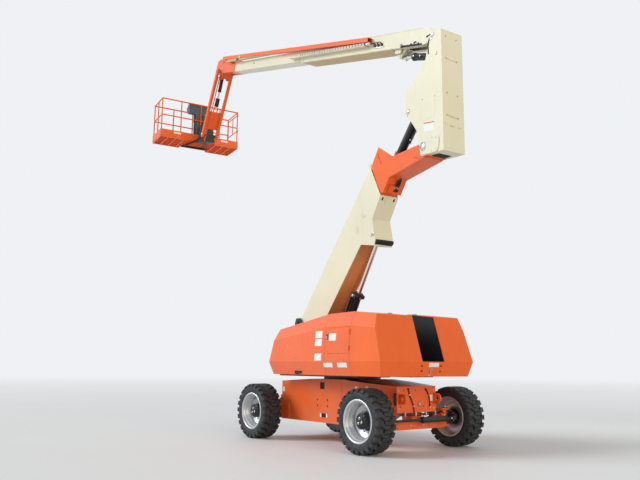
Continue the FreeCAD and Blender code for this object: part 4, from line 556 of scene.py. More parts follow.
def wheel(name, outward):
    """Lugged tyre, stepped rim and drive hub of one wheel."""
    body = "wheel_" + name
    tyre = Piece("lugged_tyre_" + name, body)
    mirrored = tuple((-along, radius) for along, radius in reversed(CARCASS[:-1]))
    tyre.turned((0, 0, 0), UP, CARCASS + mirrored, "tyre", 96, closed=True)
    for row in (1, -1):
        for number in range(LUGS):
            start = 2 * math.pi * (number + (0.5 if row < 0 else 0)) / LUGS
            sections = []
            for along, radius, around, width, foot_along, foot_radius in LUG_SECTIONS:
                middle = start + outward * around / TYRE_RADIUS
                top = width / 2 / TYRE_RADIUS
                foot = (width + LUG_FOOT) / 2 / TYRE_RADIUS
                sections.append((
                    spot(middle - top, radius, row * along), spot(middle + top, radius, row * along),
                    spot(middle + foot, foot_radius, row * foot_along),
                    spot(middle - foot, foot_radius, row * foot_along),
                ))
            tyre.loft(sections, "tyre")
    tyre.done(["tyre_" + name])
    rim = Piece("stepped_rim_" + name, body)
    rim.turned((0, 0, 0), UP, RIM, "silver", 72, closed=True)
    rim.turned((0, 0, 0), UP, HUB, "hub", 48)
    for count, radius, along, size, look in RIM_BOLTS:
        for number in range(count):
            rim.bolt(spot(2 * math.pi * number / count + 0.2, radius, along), UP, size, look)
    rim.round((0, 0, 0.1265), UP, 0.02, 0.006, "hub")
    rim.sweep((spot(0.5, 0.262, 0.0), spot(0.5, 0.245, 0.02), spot(0.5, 0.243, 0.06)), 0.005, "hose")
    rim.done(["rim_" + name])


for name in WHEELS:
    wheel(name, 1 if name.endswith("left") else -1)

# Chassis

CHASSIS_HALF = 0.6
NOSE_X = 1.62
AXLE_X = 1.525
RAM_X = 1.735
RAM_Z = 0.488
NOSE_HOSES = (
    ((-0.193, 0.972), (-0.177, 0.882), (-0.125, 0.791), (-0.084, 0.699), (-0.074, 0.610)),
    ((0.214, 0.965), (0.280, 0.873), (0.298, 0.764), (0.296, 0.675)),
)


def chassis_details():
    """Bolts, blank plates, windows filled with painted shade and axle pads of the chassis."""
    piece = Piece("chassis_details", "chassis")
    piece.bolts(at_side(-CHASSIS_HALF, ((-0.26, 0.742), (0.027, 0.744), (-0.258, 0.641), (0.028, 0.639))),
                -SIDE, 0.017, "hub")
    for side, out in SIDES:
        wall = side * CHASSIS_HALF
        # Painted shade: dark blocks behind the side windows
        piece.block((-0.1895, side * 0.541, 0.9305), (-0.0605, side * 0.584, 1.0495), "dark", 0)
        piece.block((-0.1395, side * 0.541, 0.4405), (-0.0205, side * 0.584, 0.5095), "dark", 0)
        for x, z, wide, high in ((-0.165, 0.475, 0.038, 0.062), (0.006, 0.475, 0.038, 0.062),
                                 (-1.324, 0.896, 0.062, 0.085), (0.806, 0.979, 0.06, 0.045)):
            piece.tag((x, wall, z), out, wide, high)
        piece.block((-1.378, wall, 0.362), (-1.10, side * 0.635, 0.652), "orange", 0.006)
        for inset in (0.004, 0.024):
            piece.plate(at_side(wall + side * inset, ((-1.376, 0.652), (-1.13, 0.652), (-1.376, 0.80))),
                        out, 0.008, "orange")
        piece.sweep(at_side(wall + side * 0.002, ((0.42, 0.38), (0.42, 0.70), (0.42, 1.05))), 0.0025,
                    "orange")
    piece.tag((1.039, -0.571, 0.989), (0.21, -0.98, 0), 0.05, 0.04)
    piece.tag((NOSE_X, 0.336, 0.826), FRONT, 0.075, 0.10)
    for at in at_end(1.6195, ((-0.295, 0.957), (-0.026, 0.956), (-0.37, 0.70), (0.16, 0.70))):
        piece.round(at, FRONT, 0.011, 0.003, "dark", 0.001, 16)
    piece.bolts([(NOSE_X, y, z) for y in (-0.40, 0.40) for z in (0.95, 0.66)], FRONT, 0.016)
    for points in NOSE_HOSES:
        piece.ring((1.6195, *points[0]), FRONT, 0.020, 0.012, 0.006, "hose")
        piece.sweep(at_end(1.632, points), 0.0095, "hose")
        for y, z in points[1::2]:
            piece.block((NOSE_X, y - 0.017, z - 0.012), (1.645, y + 0.017, z + 0.012), "zinc", 0.002)
    piece.ring((1.6195, 0.05, 0.735), FRONT, 0.028, 0.014, 0.022, "zinc")
    piece.sweep(((1.64, 0.03, 0.72), (1.65, 0.07, 0.75), (1.65, 0.11, 0.775)), 0.006, "zinc")
    for number, z in enumerate((0.90, 0.86, 0.82, 0.78, 0.74)):
        piece.round((1.598, -0.452 - 0.012 * (number % 2), z), (0.45, -0.89, 0), 0.021, 0.045, "hub",
                    0.006, 16)
    piece.block((1.585, -0.468, 0.72), (1.618, -0.452, 0.92), "hub", 0.003)
    piece.done()


def axle_details():
    """Hoses, clamps and pins along the steered axle."""
    piece = Piece("axle_details", "chassis")
    piece.sweep(((1.628, -0.40, 0.585), (1.64, -0.20, 0.57), (1.64, 0.0, 0.60), (1.64, 0.12, 0.575),
                 (1.65, 0.30, 0.585), (1.66, 0.52, 0.60), (1.62, 0.62, 0.62)), 0.0085, "hose")
    piece.sweep(((1.628, -0.42, 0.56), (1.64, -0.10, 0.555), (1.64, 0.20, 0.56), (1.65, 0.45, 0.565),
                 (1.62, 0.60, 0.60)), 0.0085, "hose")
    for y in (-0.30, -0.06, 0.18, 0.40):
        piece.block((1.625, y - 0.012, 0.545), (1.662, y + 0.012, 0.612), "zinc", 0.003)
    for y in (-0.45, -0.15, 0.15, 0.45):
        piece.bolt((1.6255, y, 0.40), FRONT, 0.016)
    for side in (-1, 1):
        piece.block((1.6252, side * 0.36 - 0.09, 0.345), (1.634, side * 0.36 + 0.09, 0.465), "orange", 0.003)
        piece.round((AXLE_X, side * 0.78, 0.649), UP, 0.045, 0.008, "hub")
        piece.bolt((AXLE_X, side * 0.78, 0.655), UP, 0.03)
    for end in (0.0, 0.552):
        piece.ring((RAM_X, end, RAM_Z), SIDE, 0.052, 0.047, 0.024, "black")
    for y in (0.03, 0.52):
        piece.round((RAM_X, y, 0.53), UP, 0.014, 0.03, "zinc", 0.003, 12)
        piece.sweep(((RAM_X, y, 0.552), (1.72, y + 0.02, 0.575), (1.68, y + 0.03, 0.583),
                     (1.655, y + 0.03, 0.585)), 0.008, "hose")
    piece.done()
    chrome = Piece("steer_rod_chrome", "tie_rod")
    chrome.turned((RAM_X, 0.684, RAM_Z), SIDE, ((0, 0.0208), (0.038, 0.0208)), "chrome")
    for side in (-1, 1):
        chrome.round((RAM_X, side * 0.78, 0.512), UP, 0.02, 0.007, "zinc", 0.003, 16)
    chrome.done()


MOTOR = ((0, 0.085), (0.008, 0.118), (0.03, 0.124), (0.034, 0.118), (0.07, 0.118), (0.074, 0.124),
         (0.10, 0.124))
MOTOR_BOLTS = 10


def motor_details():
    """Drive motors behind the front wheels, with a ring of bolts."""
    for side, out in SIDES:
        name = "left" if side > 0 else "right"
        motor = Piece("drive_motor_" + name, "knuckle_" + name)
        motor.turned((AXLE_X, side * 0.892, 0.5), out, MOTOR, "hub", 40)
        for number in range(MOTOR_BOLTS):
            turn = 2 * math.pi * number / MOTOR_BOLTS
            motor.bolt((AXLE_X + 0.102 * math.cos(turn), side * 0.891, 0.5 + 0.102 * math.sin(turn)),
                       -out, 0.016)
        motor.done()


chassis_details()
axle_details()
motor_details()

# Covers

REAR = Vector((0.95, 0, -0.31))
BELT = Vector((0, -0.97, -0.24))
COVER = Vector((0, -1, 0.07))
WEIGHT_SLOT = ((1.424, 1.413), (2.224, 1.413), (1.991, 2.124), (1.44, 2.192))


def cover_details():
    """Blank plates, latches, handles and rivets of the covers, and black sheets of painted shade in the
    counterweight's opening.
    """
    hood = Piece("hood_right_details", "hood_right")
    for at in ((0.470, -1.0165, 1.862), (0.462, -1.0255, 1.728), (0.476, -1.0435, 1.484)):
        hood.tag(at, COVER, 0.215, 0.118)
    hood.sweep(((-0.35, -1.002, 1.232), (-0.32, -1.034, 1.206), (-0.17, -1.038, 1.206),
                (-0.13, -1.006, 1.235)), 0.015, "hose")
    hood.sweep(((-0.36, -1.006, 1.240), (-0.24, -1.012, 1.246), (-0.12, -1.006, 1.240)), 0.008, "hose")
    hood.bolts([(x, -1.018, 1.29) for x in (-0.28, -0.20)], BELT, 0.011)
    hood.done()
    door = Piece("door_details", "control_door")
    door.tag((0.900, -1.0195, 1.809), COVER, 0.205, 0.122)
    door.tag((0.728, -1.020, 1.814), COVER, 0.058, 0.082, "hub", 0.006, 0.003)
    door.tag((0.728, -1.026, 1.806), COVER, 0.034, 0.046, "zinc", 0.005, 0.003)
    door.done()
    covers = Piece("side_cover_details", "turntable")
    for x in (0.783, 1.201):
        covers.tag((x, -1.0335, 1.351), BELT, 0.275, 0.076)
    covers.bolts([(x, -1.014, 1.268) for x in (0.75, 1.04, 1.30)], BELT, 0.011)
    covers.bolts([(x, -1.028, 1.33) for x in (0.66, 1.40)], BELT, 0.011)
    covers.done()
    weight = Piece("weight_details", "turntable")
    weight.tag((2.2178, 0.016, 1.360), REAR, 0.20, 0.066)
    weight.tag((2.2128, 0.650, 1.452), (0.95, 0, 0.31), 0.17, 0.072)
    weight.bolts(((2.212, -0.223, 1.343), (2.188, -0.211, 1.267), (2.213, 0.165, 1.345),
                  (2.186, 0.166, 1.260)), REAR, 0.017, "hub")
    weight.round((2.197, -0.022, 1.296), REAR, 0.018, 0.012, "zinc")
    weight.tag((2.187, -0.045, 1.255), REAR, 0.016, 0.085, "zinc", 0.012, 0.003)
    weight.block((2.150, -0.06, 1.184), (2.172, -0.03, 1.215), "zinc", 0.003)
    # Painted shade: black sheets on the walls and the floor of the counterweight's opening
    for side, out in SIDES:
        weight.plate(at_side(side * 0.2245, WEIGHT_SLOT), -out, 0.003, "black_and_painted_shade", 0)
        weight.block((1.42, side * 0.265 - 0.03, 2.195), (1.50, side * 0.265 + 0.03, 2.204), "hub", 0.003)
    weight.plate([(x, y, 1.4105) for x, y in ((1.424, -0.22), (2.228, -0.22), (2.228, 0.22), (1.424, 0.22))],
                 UP, 0.003, "black_and_painted_shade", 0)
    weight.done()


cover_details()

# Tower

TOWER_HALF = 0.2
BOUNCE_SHEET_HALF = 0.189
BOUNCE_SHEET_TOP = -0.5955


def tower_details():
    """Plugs, bolts and roller of the outer tower, sheets of painted bounce light and shade in its channel,
    and the gooseneck's trim with a painted shadow strip.
    """
    piece = Piece("tower_details", "tower")
    for side, out in SIDES:
        wall = side * TOWER_HALF
        for x, z in ((2.880, -0.406), (2.557, -0.420)):
            piece.ring((x, wall, z), out, 0.062, 0.052, 0.003, "cream")
            piece.round((x, wall, z), out, 0.050, 0.0015, "cream")
        piece.round((2.782, wall, -0.881), out, 0.034, 0.004, "zinc", 0.001)
        piece.bolt((2.782, side * 0.204, -0.881), out, 0.014)
        piece.round((3.67, wall, 0.04), out, 0.030, 0.006, "cream")
        piece.bolt((0.0, side * 0.205, 0.0), out, 0.05)
    piece.bolts(((3.375, -0.128, -0.607), (3.350, -0.128, -0.611), (3.375, 0.124, -0.607),
                 (3.350, 0.124, -0.611)), (0.16, 0, -0.99), 0.018, "hub")
    piece.sweep(((3.40, -0.03, -0.606), (3.35, -0.05, -0.618), (3.28, -0.06, -0.626)), 0.012, "cream")
    piece.sweep([(2.735, y, -1.022) for y in (-0.185, 0.0, 0.185)], 0.030, "black_and_painted_shade", 4)
    piece.block((2.66, -0.188, -1.048), (2.74, 0.188, -1.012), "black_and_painted_shade", 0.01,
                Matrix.Rotation(math.radians(24), 4, "Y"))
    # Sheets of painted bounce light and shade on the floor and walls of the tower's channel
    piece.plate([(x, y, BOUNCE_SHEET_TOP) for x, y in ((0.30, -BOUNCE_SHEET_HALF), (2.93, -BOUNCE_SHEET_HALF),
                                                 (2.93, BOUNCE_SHEET_HALF), (0.30, BOUNCE_SHEET_HALF))],
                -UP, 0.002, "painted_bounce", 0)
    for side, out in SIDES:
        piece.plate(at_side(side * 0.1897, ((0.30, -0.60), (2.42, -0.60), (2.33, -0.698), (0.30, -0.698))),
                    -out, 0.002, "painted_bounce", 0)
    piece.done()
    neck = Piece("gooseneck_details", "tower_fly")
    for side, out in SIDES:
        wall = side * TOWER_HALF
        # Painted shadow: a dark orange strip where the tower's plate edge shades the gooseneck
        neck.plate(at_side(wall, ((3.95, -0.025), (3.925, -0.02), (3.842, -0.235), (3.857, -0.25))), out,
                   0.003, "painted_shadow_orange", 0)
        neck.sweep(at_side(wall, ((4.382, -0.969), (4.430, -1.129))), 0.003, "black_and_painted_shade")
    neck.block((3.52, -0.13, -0.652), (3.66, -0.02, -0.612), "orange_high", 0.006)
    neck.block((3.545, 0.00, -0.645), (3.60, 0.09, -0.612), "hub", 0.006)
    for y, start in ((0.0, 3.60), (0.03, 3.62), (0.06, 3.60)):
        neck.sweep(((start, y, -0.628), (start + 0.08, y + 0.004, -0.640), (start + 0.17, y - 0.004, -0.628),
                    (start + 0.30, y + 0.002, -0.606)), 0.011, "hose")
        neck.round((start - 0.01, y, -0.628), FRONT, 0.016, 0.04, "zinc", 0.003, 12)
    neck.block((3.78, -0.03, -0.628), (3.81, 0.09, -0.598), "zinc", 0.004)
    neck.done()


tower_details()

# Cylinders: name, barrel radius, rod radius, the gland's place, and side tubes (angle, from, to)
RAMS = (
    ("tower", 0.072, 0.042, 1.578, ((-90, 0.25, 1.50), (-60, 0.25, 0.60), (0, 0.9, 1.46))),
    ("level", 0.075, 0.040, 1.080, ((90, 0.20, 1.00), (60, 0.20, 0.50))),
    ("boom", 0.062, 0.036, 0.850, ((0, 0.16, 0.78),)),
    ("jib", 0.048, 0.026, 0.620, ((60, 0.10, 0.40), (120, 0.10, 0.28))),
)
TUBE_RISE = 0.012
CLAMP_HALF = Vector((0.012, 0.014, 0.014))


def ram_details():
    """Glands, tubes and ports of the lifting cylinders."""
    for name, radius, rod, long, tubes in RAMS:
        piece = Piece(name + "_ram_ports", name + "_barrel")
        piece.ring((long - 0.03, 0, 0), FRONT, radius + 0.004, rod + 0.004, 0.032, "black")
        reach = (radius + rod) / 2 + 0.004
        for number in range(8):
            angle = math.pi * (number + 0.5) / 4
            piece.bolt((long + 0.001, reach * math.cos(angle), reach * math.sin(angle)), FRONT, 0.011, "hub")
        for angle, start, end in tubes:
            turn = math.radians(angle)
            out = Vector((0, math.cos(turn), math.sin(turn)))
            low, high = (x * FRONT + out * (radius + TUBE_RISE) for x in (start, end))
            rise = out * 0.004
            piece.sweep((low - out * 0.014, low + FRONT * 0.03 + rise, (low + high) / 2,
                         high - FRONT * 0.03 + rise, high - out * 0.014), 0.008, "hub")
            for port in (low, high):
                piece.round(port - out * 0.02, out, 0.018, 0.034, "zinc", 0.004, 14)
            for share in (0.3, 0.7):
                middle = low.lerp(high, share)
                piece.block(middle - CLAMP_HALF, middle + CLAMP_HALF, "zinc", 0.003)
        if name == "tower":
            piece.block((1.49, -0.125, -0.085), (1.56, 0.10, 0.068), "hub", 0.012)
            piece.round((1.525, -0.122, -0.01), -SIDE, 0.026, 0.020, "zinc", 0.005, 14)
            piece.block((0.30, -0.150, -0.040), (0.36, -0.07, 0.050), "hub", 0.01)
            for y, z in ((-0.102, 0.030), (-0.134, 0.012), (-0.108, -0.022)):
                piece.sweep([(x, y, z) for x in (0.12, 0.5, 0.95, 1.50)], 0.0135, "hose")
        piece.done()


ram_details()

# Upright

UPRIGHT_HALF = 0.225
# The cover of the rear wall's opening: its half width, then its lower and upper end (x, z)
REAR_PLATE = (0.2128, (0.4670, -0.1305), (0.4696, 0.2248))
DOUBLER_THICK = 0.016
DOUBLER = (
    (-0.085, 0.10), (-0.06, 0.155), (-0.02, 0.178), (0.30, 0.112), (0.355, 0.085), (0.378, 0.03),
    (0.360, -0.10), (0.33, -0.155), (0.28, -0.167), (0.02, -0.142), (-0.045, -0.125), (-0.072, -0.08),
)


def upright_details():
    """Bolts, doublers, pin heads, blank plates and hoses of the upright."""
    piece = Piece("upright_details", "upright")
    # Tan bolts on the rear wall: painted shade of the cream
    piece.bolts(((0.482, -0.129, 1.751), (0.482, 0.099, 1.736), (0.482, -0.130, 1.370),
                 (0.482, 0.096, 1.351), (0.478, -0.127, 0.784), (0.478, 0.097, 0.767),
                 (0.475, -0.139, 0.405), (0.475, 0.095, 0.387)), FRONT, 0.014, "painted_shade_cream")
    half, (low_x, low_z), (high_x, high_z) = REAR_PLATE
    piece.plate(((low_x, -half, low_z), (low_x, half, low_z), (high_x, half, high_z),
                 (high_x, -half, high_z)), -FRONT, 0.010, "cream", 0)
    # Tan seams on the rear wall: painted shade of the cream
    for z in (1.36, 0.396):
        piece.sweep(at_end(0.4795, ((-0.12, z + 0.01), (0.0, z - 0.012), (0.09, z - 0.006))), 0.003, "painted_shade_cream")
    for side, out in SIDES:
        wall = side * UPRIGHT_HALF
        piece.bolts(at_side(wall, ((-0.004, 0.820), (0.288, 0.777))), out, 0.015)
        for spots in (((0.288, 0.765), (0.284, 0.60), (0.276, 0.450)),
                      ((0.262, 0.446), (0.12, 0.442), (-0.025, 0.436))):
            piece.sweep(at_side(wall, spots), 0.0022, "cream")
        for look, edge, spots in (
            ("white", 0.001, ((0.008, 0.375), (0.264, 0.329), (0.262, 0.203), (0.009, 0.245))),
            ("red", 0.0005, ((0.008, 0.399), (0.264, 0.352), (0.264, 0.338), (0.008, 0.385))),
        ):
            piece.plate(at_side(wall, spots), out, 0.002, look, edge)
        piece.plate(at_side(wall, DOUBLER), out, DOUBLER_THICK, "cream", 0.004)
        face = side * (UPRIGHT_HALF + DOUBLER_THICK)
        piece.bolts(at_side(face, ((0.31, 0.06), (0.30, -0.11), (0.20, -0.125), (0.22, 0.095))), out, 0.014,
                    "cream")
        piece.turned((0, face, 0), out, ((0, 0.078), (0.004, 0.076), (0.005, 0.044), (0.014, 0.042),
                                         (0.017, 0.036)), "chrome", 32)
        for x, z, radius in ((0.281, 1.838, 0.045), (-0.376, 0.719, 0.046)):
            piece.turned((x, wall, z), out, ((0, radius), (0.003, radius), (0.005, radius * 0.72),
                                             (0.014, radius * 0.70), (0.018, radius * 0.55)), "chrome", 28)
            piece.block((x - 0.055, wall, z - 0.075), (x - 0.015, wall + side * 0.008, z - 0.045), "zinc",
                        0.002)
    piece.sweep(((0.20, -0.227, 1.80), (0.17, -0.232, 1.72), (0.165, -0.231, 1.62), (0.17, -0.228, 1.54)),
                0.010, "hose")
    piece.sweep(((0.22, -0.228, 1.86), (0.19, -0.232, 1.87), (0.155, -0.229, 1.85)), 0.010, "hose")
    piece.block((0.09, -0.14, -0.172), (0.26, 0.14, -0.146), "black_and_painted_shade", 0.01)
    piece.done()


upright_details()

# Main boom. In its frame +Y is the machine's right

BOOM_WALL = 0.1803


def boom_details():
    """Bolts, a cut-out with a painted shadow, guides, lugs and a tan sheet of painted shade under the outer
    boom.
    """
    piece = Piece("boom_details", "boom")
    piece.bolts(((0.194, 0.180, 0.0), (0.602, 0.18, -0.089), (0.404, 0.18, -0.093), (0.52, 0.18, -0.075)),
                SIDE, 0.02, "hub")
    # Painted shadow: a black sheet in the side plate's cut-out
    piece.plate(at_side(0.18, ((0.30, -0.098), (0.875, -0.090), (0.895, -0.105), (0.875, -0.1295),
                               (0.30, -0.1295))), SIDE, 0.003, "black_and_painted_shade", 0.001)
    piece.round((0.875, 0.180, -0.095), SIDE, 0.032, 0.012, "hub")
    piece.ring((0.875, 0.192, -0.095), SIDE, 0.018, 0.010, 0.004, "zinc")
    piece.sweep(((0.46, 0.183, -0.075), (0.48, 0.19, -0.045), (0.50, 0.19, -0.075)), 0.008, "hose")
    for side, out in SIDES:
        for start, middle, z in ((0.35, 2.4, 0.158), (0.95, 2.7, -0.122)):
            piece.sweep([(x, side * 0.1805, z) for x in (start, middle, 4.45)], 0.004, "cream")
        piece.block((4.44, side * 0.179, -0.128), (4.508, side * 0.191, 0.163), "cream", 0.002)
        piece.bolts(at_side(side * 0.191, ((4.475, -0.09), (4.475, 0.02), (4.475, 0.125))), out, 0.016)
        piece.block((0.93, side * 0.12 - 0.012, -0.205), (1.10, side * 0.12 + 0.012, -0.13), "cream", 0.004)
    piece.block((1.80, 0.182, -0.012), (1.90, 0.275, 0.036), "white", 0.012)
    piece.block((1.90, 0.270, -0.008), (1.935, 0.282, 0.030), "hub", 0.004)
    for x in (1.45, 1.56, 1.67):
        piece.block((x, BOOM_WALL, -0.045), (x + 0.05, 0.205, 0.005), "hub", 0.005)
        piece.sweep(((x + 0.025, 0.20, 0.0), (x + 0.04, 0.215, 0.028), (x + 0.12, 0.22, 0.024),
                     (1.83, 0.23, 0.010)), 0.009, "hose")
    piece.block((1.40, BOOM_WALL, -0.07), (1.76, 0.190, -0.045), "zinc", 0.003)
    piece.bolts(at_side(0.19, ((1.42, -0.0575), (1.74, -0.0575))), SIDE, 0.014)
    # A tan sheet under the boom: painted shade on its underside
    piece.block((1.15, -0.175, -0.140), (4.44, 0.175, -0.1302), "painted_shade_cream", 0.002)
    piece.done()


TRACK_LINKS = 24
TRACK_START = 1.97
TRACK_PITCH = 0.105


def track_details():
    """Pale links with dark gaps of painted shade, and cross bars, on the folded power track."""
    piece = Piece("track_links", "boom")
    for number in range(TRACK_LINKS):
        x = TRACK_START + TRACK_PITCH * number
        for low, high in ((0.012, 0.030), (-0.016, 0.002)):
            piece.block((x - 0.005, 0.2785, low), (x + 0.083, 0.2855, high), "track")
        for pin in (0.015, 0.063):
            piece.round((x + pin, 0.2785, 0.007), SIDE, 0.014, 0.008, "track", 0.002, 12)
        piece.block((x + 0.020, 0.206, 0.0301), (x + 0.058, 0.282, 0.036), "track", 0.003)
        # Painted shade: a black block in each link's gap
        piece.block((x + 0.026, 0.2786, -0.012), (x + 0.054, 0.2872, 0.026), "black_and_painted_shade", 0.003)
    piece.done()


def fly_details():
    """Seam, bolts and end fittings of the inner boom, the push tube's clamp and guide, and its tray in tan
    painted shade.
    """
    piece = Piece("fly_details", "boom_fly")
    for side in (-1, 1):
        wall = side * 0.1562
        piece.sweep(at_side(wall, ((4.70, -0.030), (5.8, -0.014), (6.876, 0.002))), 0.003, "cream")
        piece.sweep(at_side(wall, ((7.09, 0.075), (7.10, 0.03), (7.10, -0.04))), 0.0025, "cream")
    piece.bolt((7.122, 0.156, 0.049), SIDE, 0.018, "hub")
    # A tan tray under the push tube: painted shade
    piece.block((4.95, 0.200, 0.160), (8.70, 0.272, 0.2315), "painted_shade_cream")
    piece.block((4.95, 0.272, 0.160), (8.70, 0.278, 0.168), "painted_shade_cream", 0.002)
    piece.block((7.76, 0.190, 0.215), (7.99, 0.292, 0.224), "zinc")
    for x in (7.79, 7.96):
        piece.bolt((x, 0.24, 0.224), UP, 0.02)
    piece.block((7.80, 0.2855, 0.205), (7.86, 0.2985, 0.262), "white", 0.006)
    piece.block((7.92, 0.2855, 0.150), (8.02, 0.292, 0.205), "hub")
    piece.done()


boom_details()
track_details()
fly_details()

# Jib. In its frames +Y is the machine's right

ARM_WALL = 0.1635
ARM_LONG = 1.86
SLEEVE = ((0.812, 0.0605), (1.045, 0.0605), (1.05, 0.057), (1.05, 0.027), (1.042, 0.027), (1.042, 0.0565),
          (0.812, 0.0565))


def jib_details():
    """Pin heads, hoses and clamps of the knuckle and the jib."""
    knuckle = Piece("knuckle_details", "jib_knuckle")
    for side, out in SIDES:
        knuckle.turned((0, side * 0.165, 0), out, ((0, 0.05), (0.004, 0.05), (0.006, 0.030), (0.016, 0.028)),
                       "zinc")
    knuckle.done()
    arm = Piece("jib_details", "jib_arm")
    for side, out in SIDES:
        for x in (0.0, ARM_LONG):
            arm.turned((x, side * 0.245, 0), out, ((0, 0.046), (0.004, 0.046), (0.006, 0.030),
                                                   (0.012, 0.028)), "zinc")
            arm.bolt((x, side * 0.257, 0), out, 0.022)
    for y, end, middle in ((0.160, 0.040, 0.036), (0.152, 0.018, 0.016)):
        arm.sweep(((0.16, y, end), (0.5, ARM_WALL, middle), (1.0, ARM_WALL, middle),
                   (1.5, ARM_WALL, middle), (1.70, y, end)), 0.0085, "hose")
    for x in (0.30, 0.75, 1.20, 1.60):
        arm.block((x, 0.150, 0.002), (x + 0.03, 0.1745, 0.050), "zinc", 0.003)
    arm.done()
    sleeve = Piece("rod_sleeve", "jib_rod")
    sleeve.turned((0, 0, 0), FRONT, SLEEVE, "black", 32, closed=True)
    for x in (0.83, 1.02):
        sleeve.ring((x, 0, 0), FRONT, 0.0630, 0.0590, 0.016, "hub")
    sleeve.done()


jib_details()

# Platform. In its frame +X is away from the boom and -Y the machine's left

FLOOR_NEAR = 0.43
FLOOR_FAR = 1.25
FLOOR_HALF = 1.22
FLOOR_UNDER = 0.06
# Boxes of the console: low corner, high corner, look, edge
CONSOLE = (
    ((0.484, -0.195, 0.62), (0.545, 0.207, 1.00), "slate", 0.014),
    ((0.486, -0.180, 0.14), (0.560, 0.192, 0.615), "black", 0.014),
    ((0.480, -0.150, 0.68), (0.486, 0.160, 0.94), "slate", 0.003),
    ((0.484, -0.44, 0.30), (0.600, -0.215, 0.60), "black", 0.016),
)


def platform_details():
    """Floor ribs, toe board plates and console parts of the platform."""
    piece = Piece("platform_details", "platform")
    for low, high in ((0.603, 0.818), (-0.881, -0.667)):
        piece.tag((FLOOR_NEAR, (low + high) / 2, 0.185), -FRONT, high - low, 0.055)
    for low, high, look, edge in CONSOLE:
        piece.block(low, high, look, edge)
    piece.bolts([(0.4795, y, z) for y in (-0.13, 0.14) for z in (0.70, 0.92)], -FRONT, 0.014)
    piece.block((0.4665, -0.235, 1.150), (0.4760, 0.345, 1.222), "grey")
    mount_bar = ((1.045, 0.352), (1.085, 0.352), (1.035, -0.412), (0.995, -0.412))
    piece.plate([(x, y, 0.002) for x, y in mount_bar], UP, 0.050, "black", 0.004)
    ribs = [((x - 0.012, 0.01 - FLOOR_HALF), (x + 0.012, FLOOR_HALF - 0.01), 0.022)
            for x in (0.52, 0.63, 0.74, 0.85, 0.96, 1.07, 1.18)]
    ribs += [((FLOOR_NEAR + 0.004, y - 0.02), (FLOOR_FAR - 0.004, y + 0.02), 0.038)
             for y in (-0.98, -0.74, -0.50, 0.50, 0.74, 0.98)]
    ribs += [((FLOOR_NEAR, y - 0.018), (FLOOR_FAR, y + 0.018), 0.045)
             for y in (0.02 - FLOOR_HALF, FLOOR_HALF - 0.02)]
    ribs += [((x - 0.015, low), (x + 0.015, high), 0.045)
             for x in (FLOOR_NEAR + 0.016, FLOOR_FAR - 0.016)
             for low, high in ((-FLOOR_HALF, -0.45), (0.40, FLOOR_HALF))]
    for low, high, deep in ribs:
        piece.block((*low, FLOOR_UNDER - deep), (*high, FLOOR_UNDER), "orange_high")
    piece.done()


platform_details()

# Stage: floor, soft light and the camera

FLOOR_SHADE = (0.72, 0.725, 0.73)
FLOOR_REACH = 90
FADE_FROM = 14
FADE_TO = 70
SKY_SHADE = (0.86, 0.88, 0.90)
FILL_STRENGTH = 0.50
SHOWN_STRENGTH = 1.0
# Suns: name, direction, strength, angle in degrees, colour
SUNS = (
    ("key_light", (0.50, 0.70, -0.52), 2.2, 28, (0.93, 0.97, 1.0)),
    ("fill_light", (-0.85, 0.10, -0.22), 1.25, 40, (1.0, 0.86, 0.60)),
)


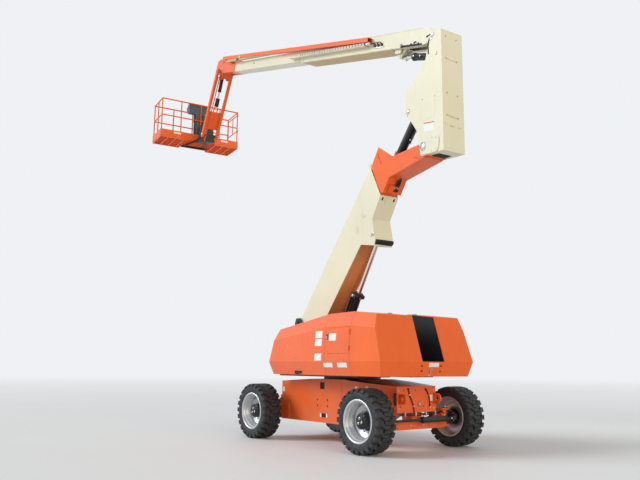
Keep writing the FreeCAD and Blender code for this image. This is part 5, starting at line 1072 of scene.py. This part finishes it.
def floor():
    """A pale floor that fades into the backdrop."""
    look = Look("floor_look")
    fade = look.node("VectorMath", {0: look.place}, operation="LENGTH")
    far = look.spread(fade.outputs["Value"], FADE_FROM, FADE_TO)
    shown = look.blend(look.noise(0.35, 5), FLOOR_SHADE, shade(FLOOR_SHADE, 1.06))
    feed(look.shader, {"Base Color": shown, "Roughness": 0.6})
    glow = look.node("Emission", {"Color": SKY_SHADE}).outputs["Emission"]
    mix = look.node("MixShader", {0: far, 1: look.shader.outputs["BSDF"], 2: glow})
    feed(look.output, {"Surface": mix.outputs["Shader"]})
    mesh = bpy.data.meshes.new("floor")
    corners = [(x * FLOOR_REACH, y * FLOOR_REACH, 0) for x, y in ((-1, -1), (1, -1), (1, 1), (-1, 1))]
    mesh.from_pydata(corners, [], [(0, 1, 2, 3)])
    mesh.materials.append(look.material)
    put("floor", mesh)


def world():
    """An even sky, shown pale and lighting the object softly."""
    made = bpy.data.worlds.new("studio")
    bpy.context.scene.world = made
    made.use_nodes = True
    tree = made.node_tree
    tree.nodes.clear()
    path = new_node(tree, "LightPath").outputs
    seen = new_node(tree, "Math", {0: path["Is Camera Ray"], 1: path["Is Glossy Ray"]},
                    operation="MAXIMUM")
    dim, shown = (
        new_node(tree, "Background", {"Color": SKY_SHADE, "Strength": strength}).outputs[0]
        for strength in (FILL_STRENGTH, SHOWN_STRENGTH)
    )
    mix = new_node(tree, "MixShader", {0: seen.outputs["Value"], 1: dim, 2: shown})
    new_node(tree, "OutputWorld", {"Surface": mix.outputs["Shader"]})


def sun(name, toward, strength, angle, colour):
    """A soft sun shining along a direction."""
    light = bpy.data.lights.new(name, "SUN")
    light.energy = strength
    light.color = colour
    light.angle = math.radians(angle)
    put(name, light).rotation_euler = Vector(toward).to_track_quat("-Z", "Y").to_euler()


def camera():
    """The camera at the photograph's place."""
    turn, rise, roll = (math.radians(angle) for angle in (CAMERA_AZIMUTH, CAMERA_RISE, CAMERA_ROLL))
    ahead = Vector((-math.sin(turn) * math.cos(rise), math.cos(turn) * math.cos(rise), math.sin(rise)))
    right = Vector((math.cos(turn), math.sin(turn), 0))
    above = right.cross(ahead)
    across = right * math.cos(roll) + above * math.sin(roll)
    above = above * math.cos(roll) - right * math.sin(roll)
    matrix = Matrix((across, above, -ahead)).transposed().to_4x4()
    matrix.translation = CAMERA_AT
    lens = bpy.data.cameras.new("camera")
    lens.lens = CAMERA_LENS
    lens.sensor_width = 36
    lens.sensor_fit = "HORIZONTAL"
    lens.clip_end = 400
    item = put("camera", lens)
    item.matrix_world = matrix
    bpy.context.scene.camera = item


floor()
world()
for settings in SUNS:
    sun(*settings)
camera()
bpy.context.scene.view_settings.view_transform = "Standard"
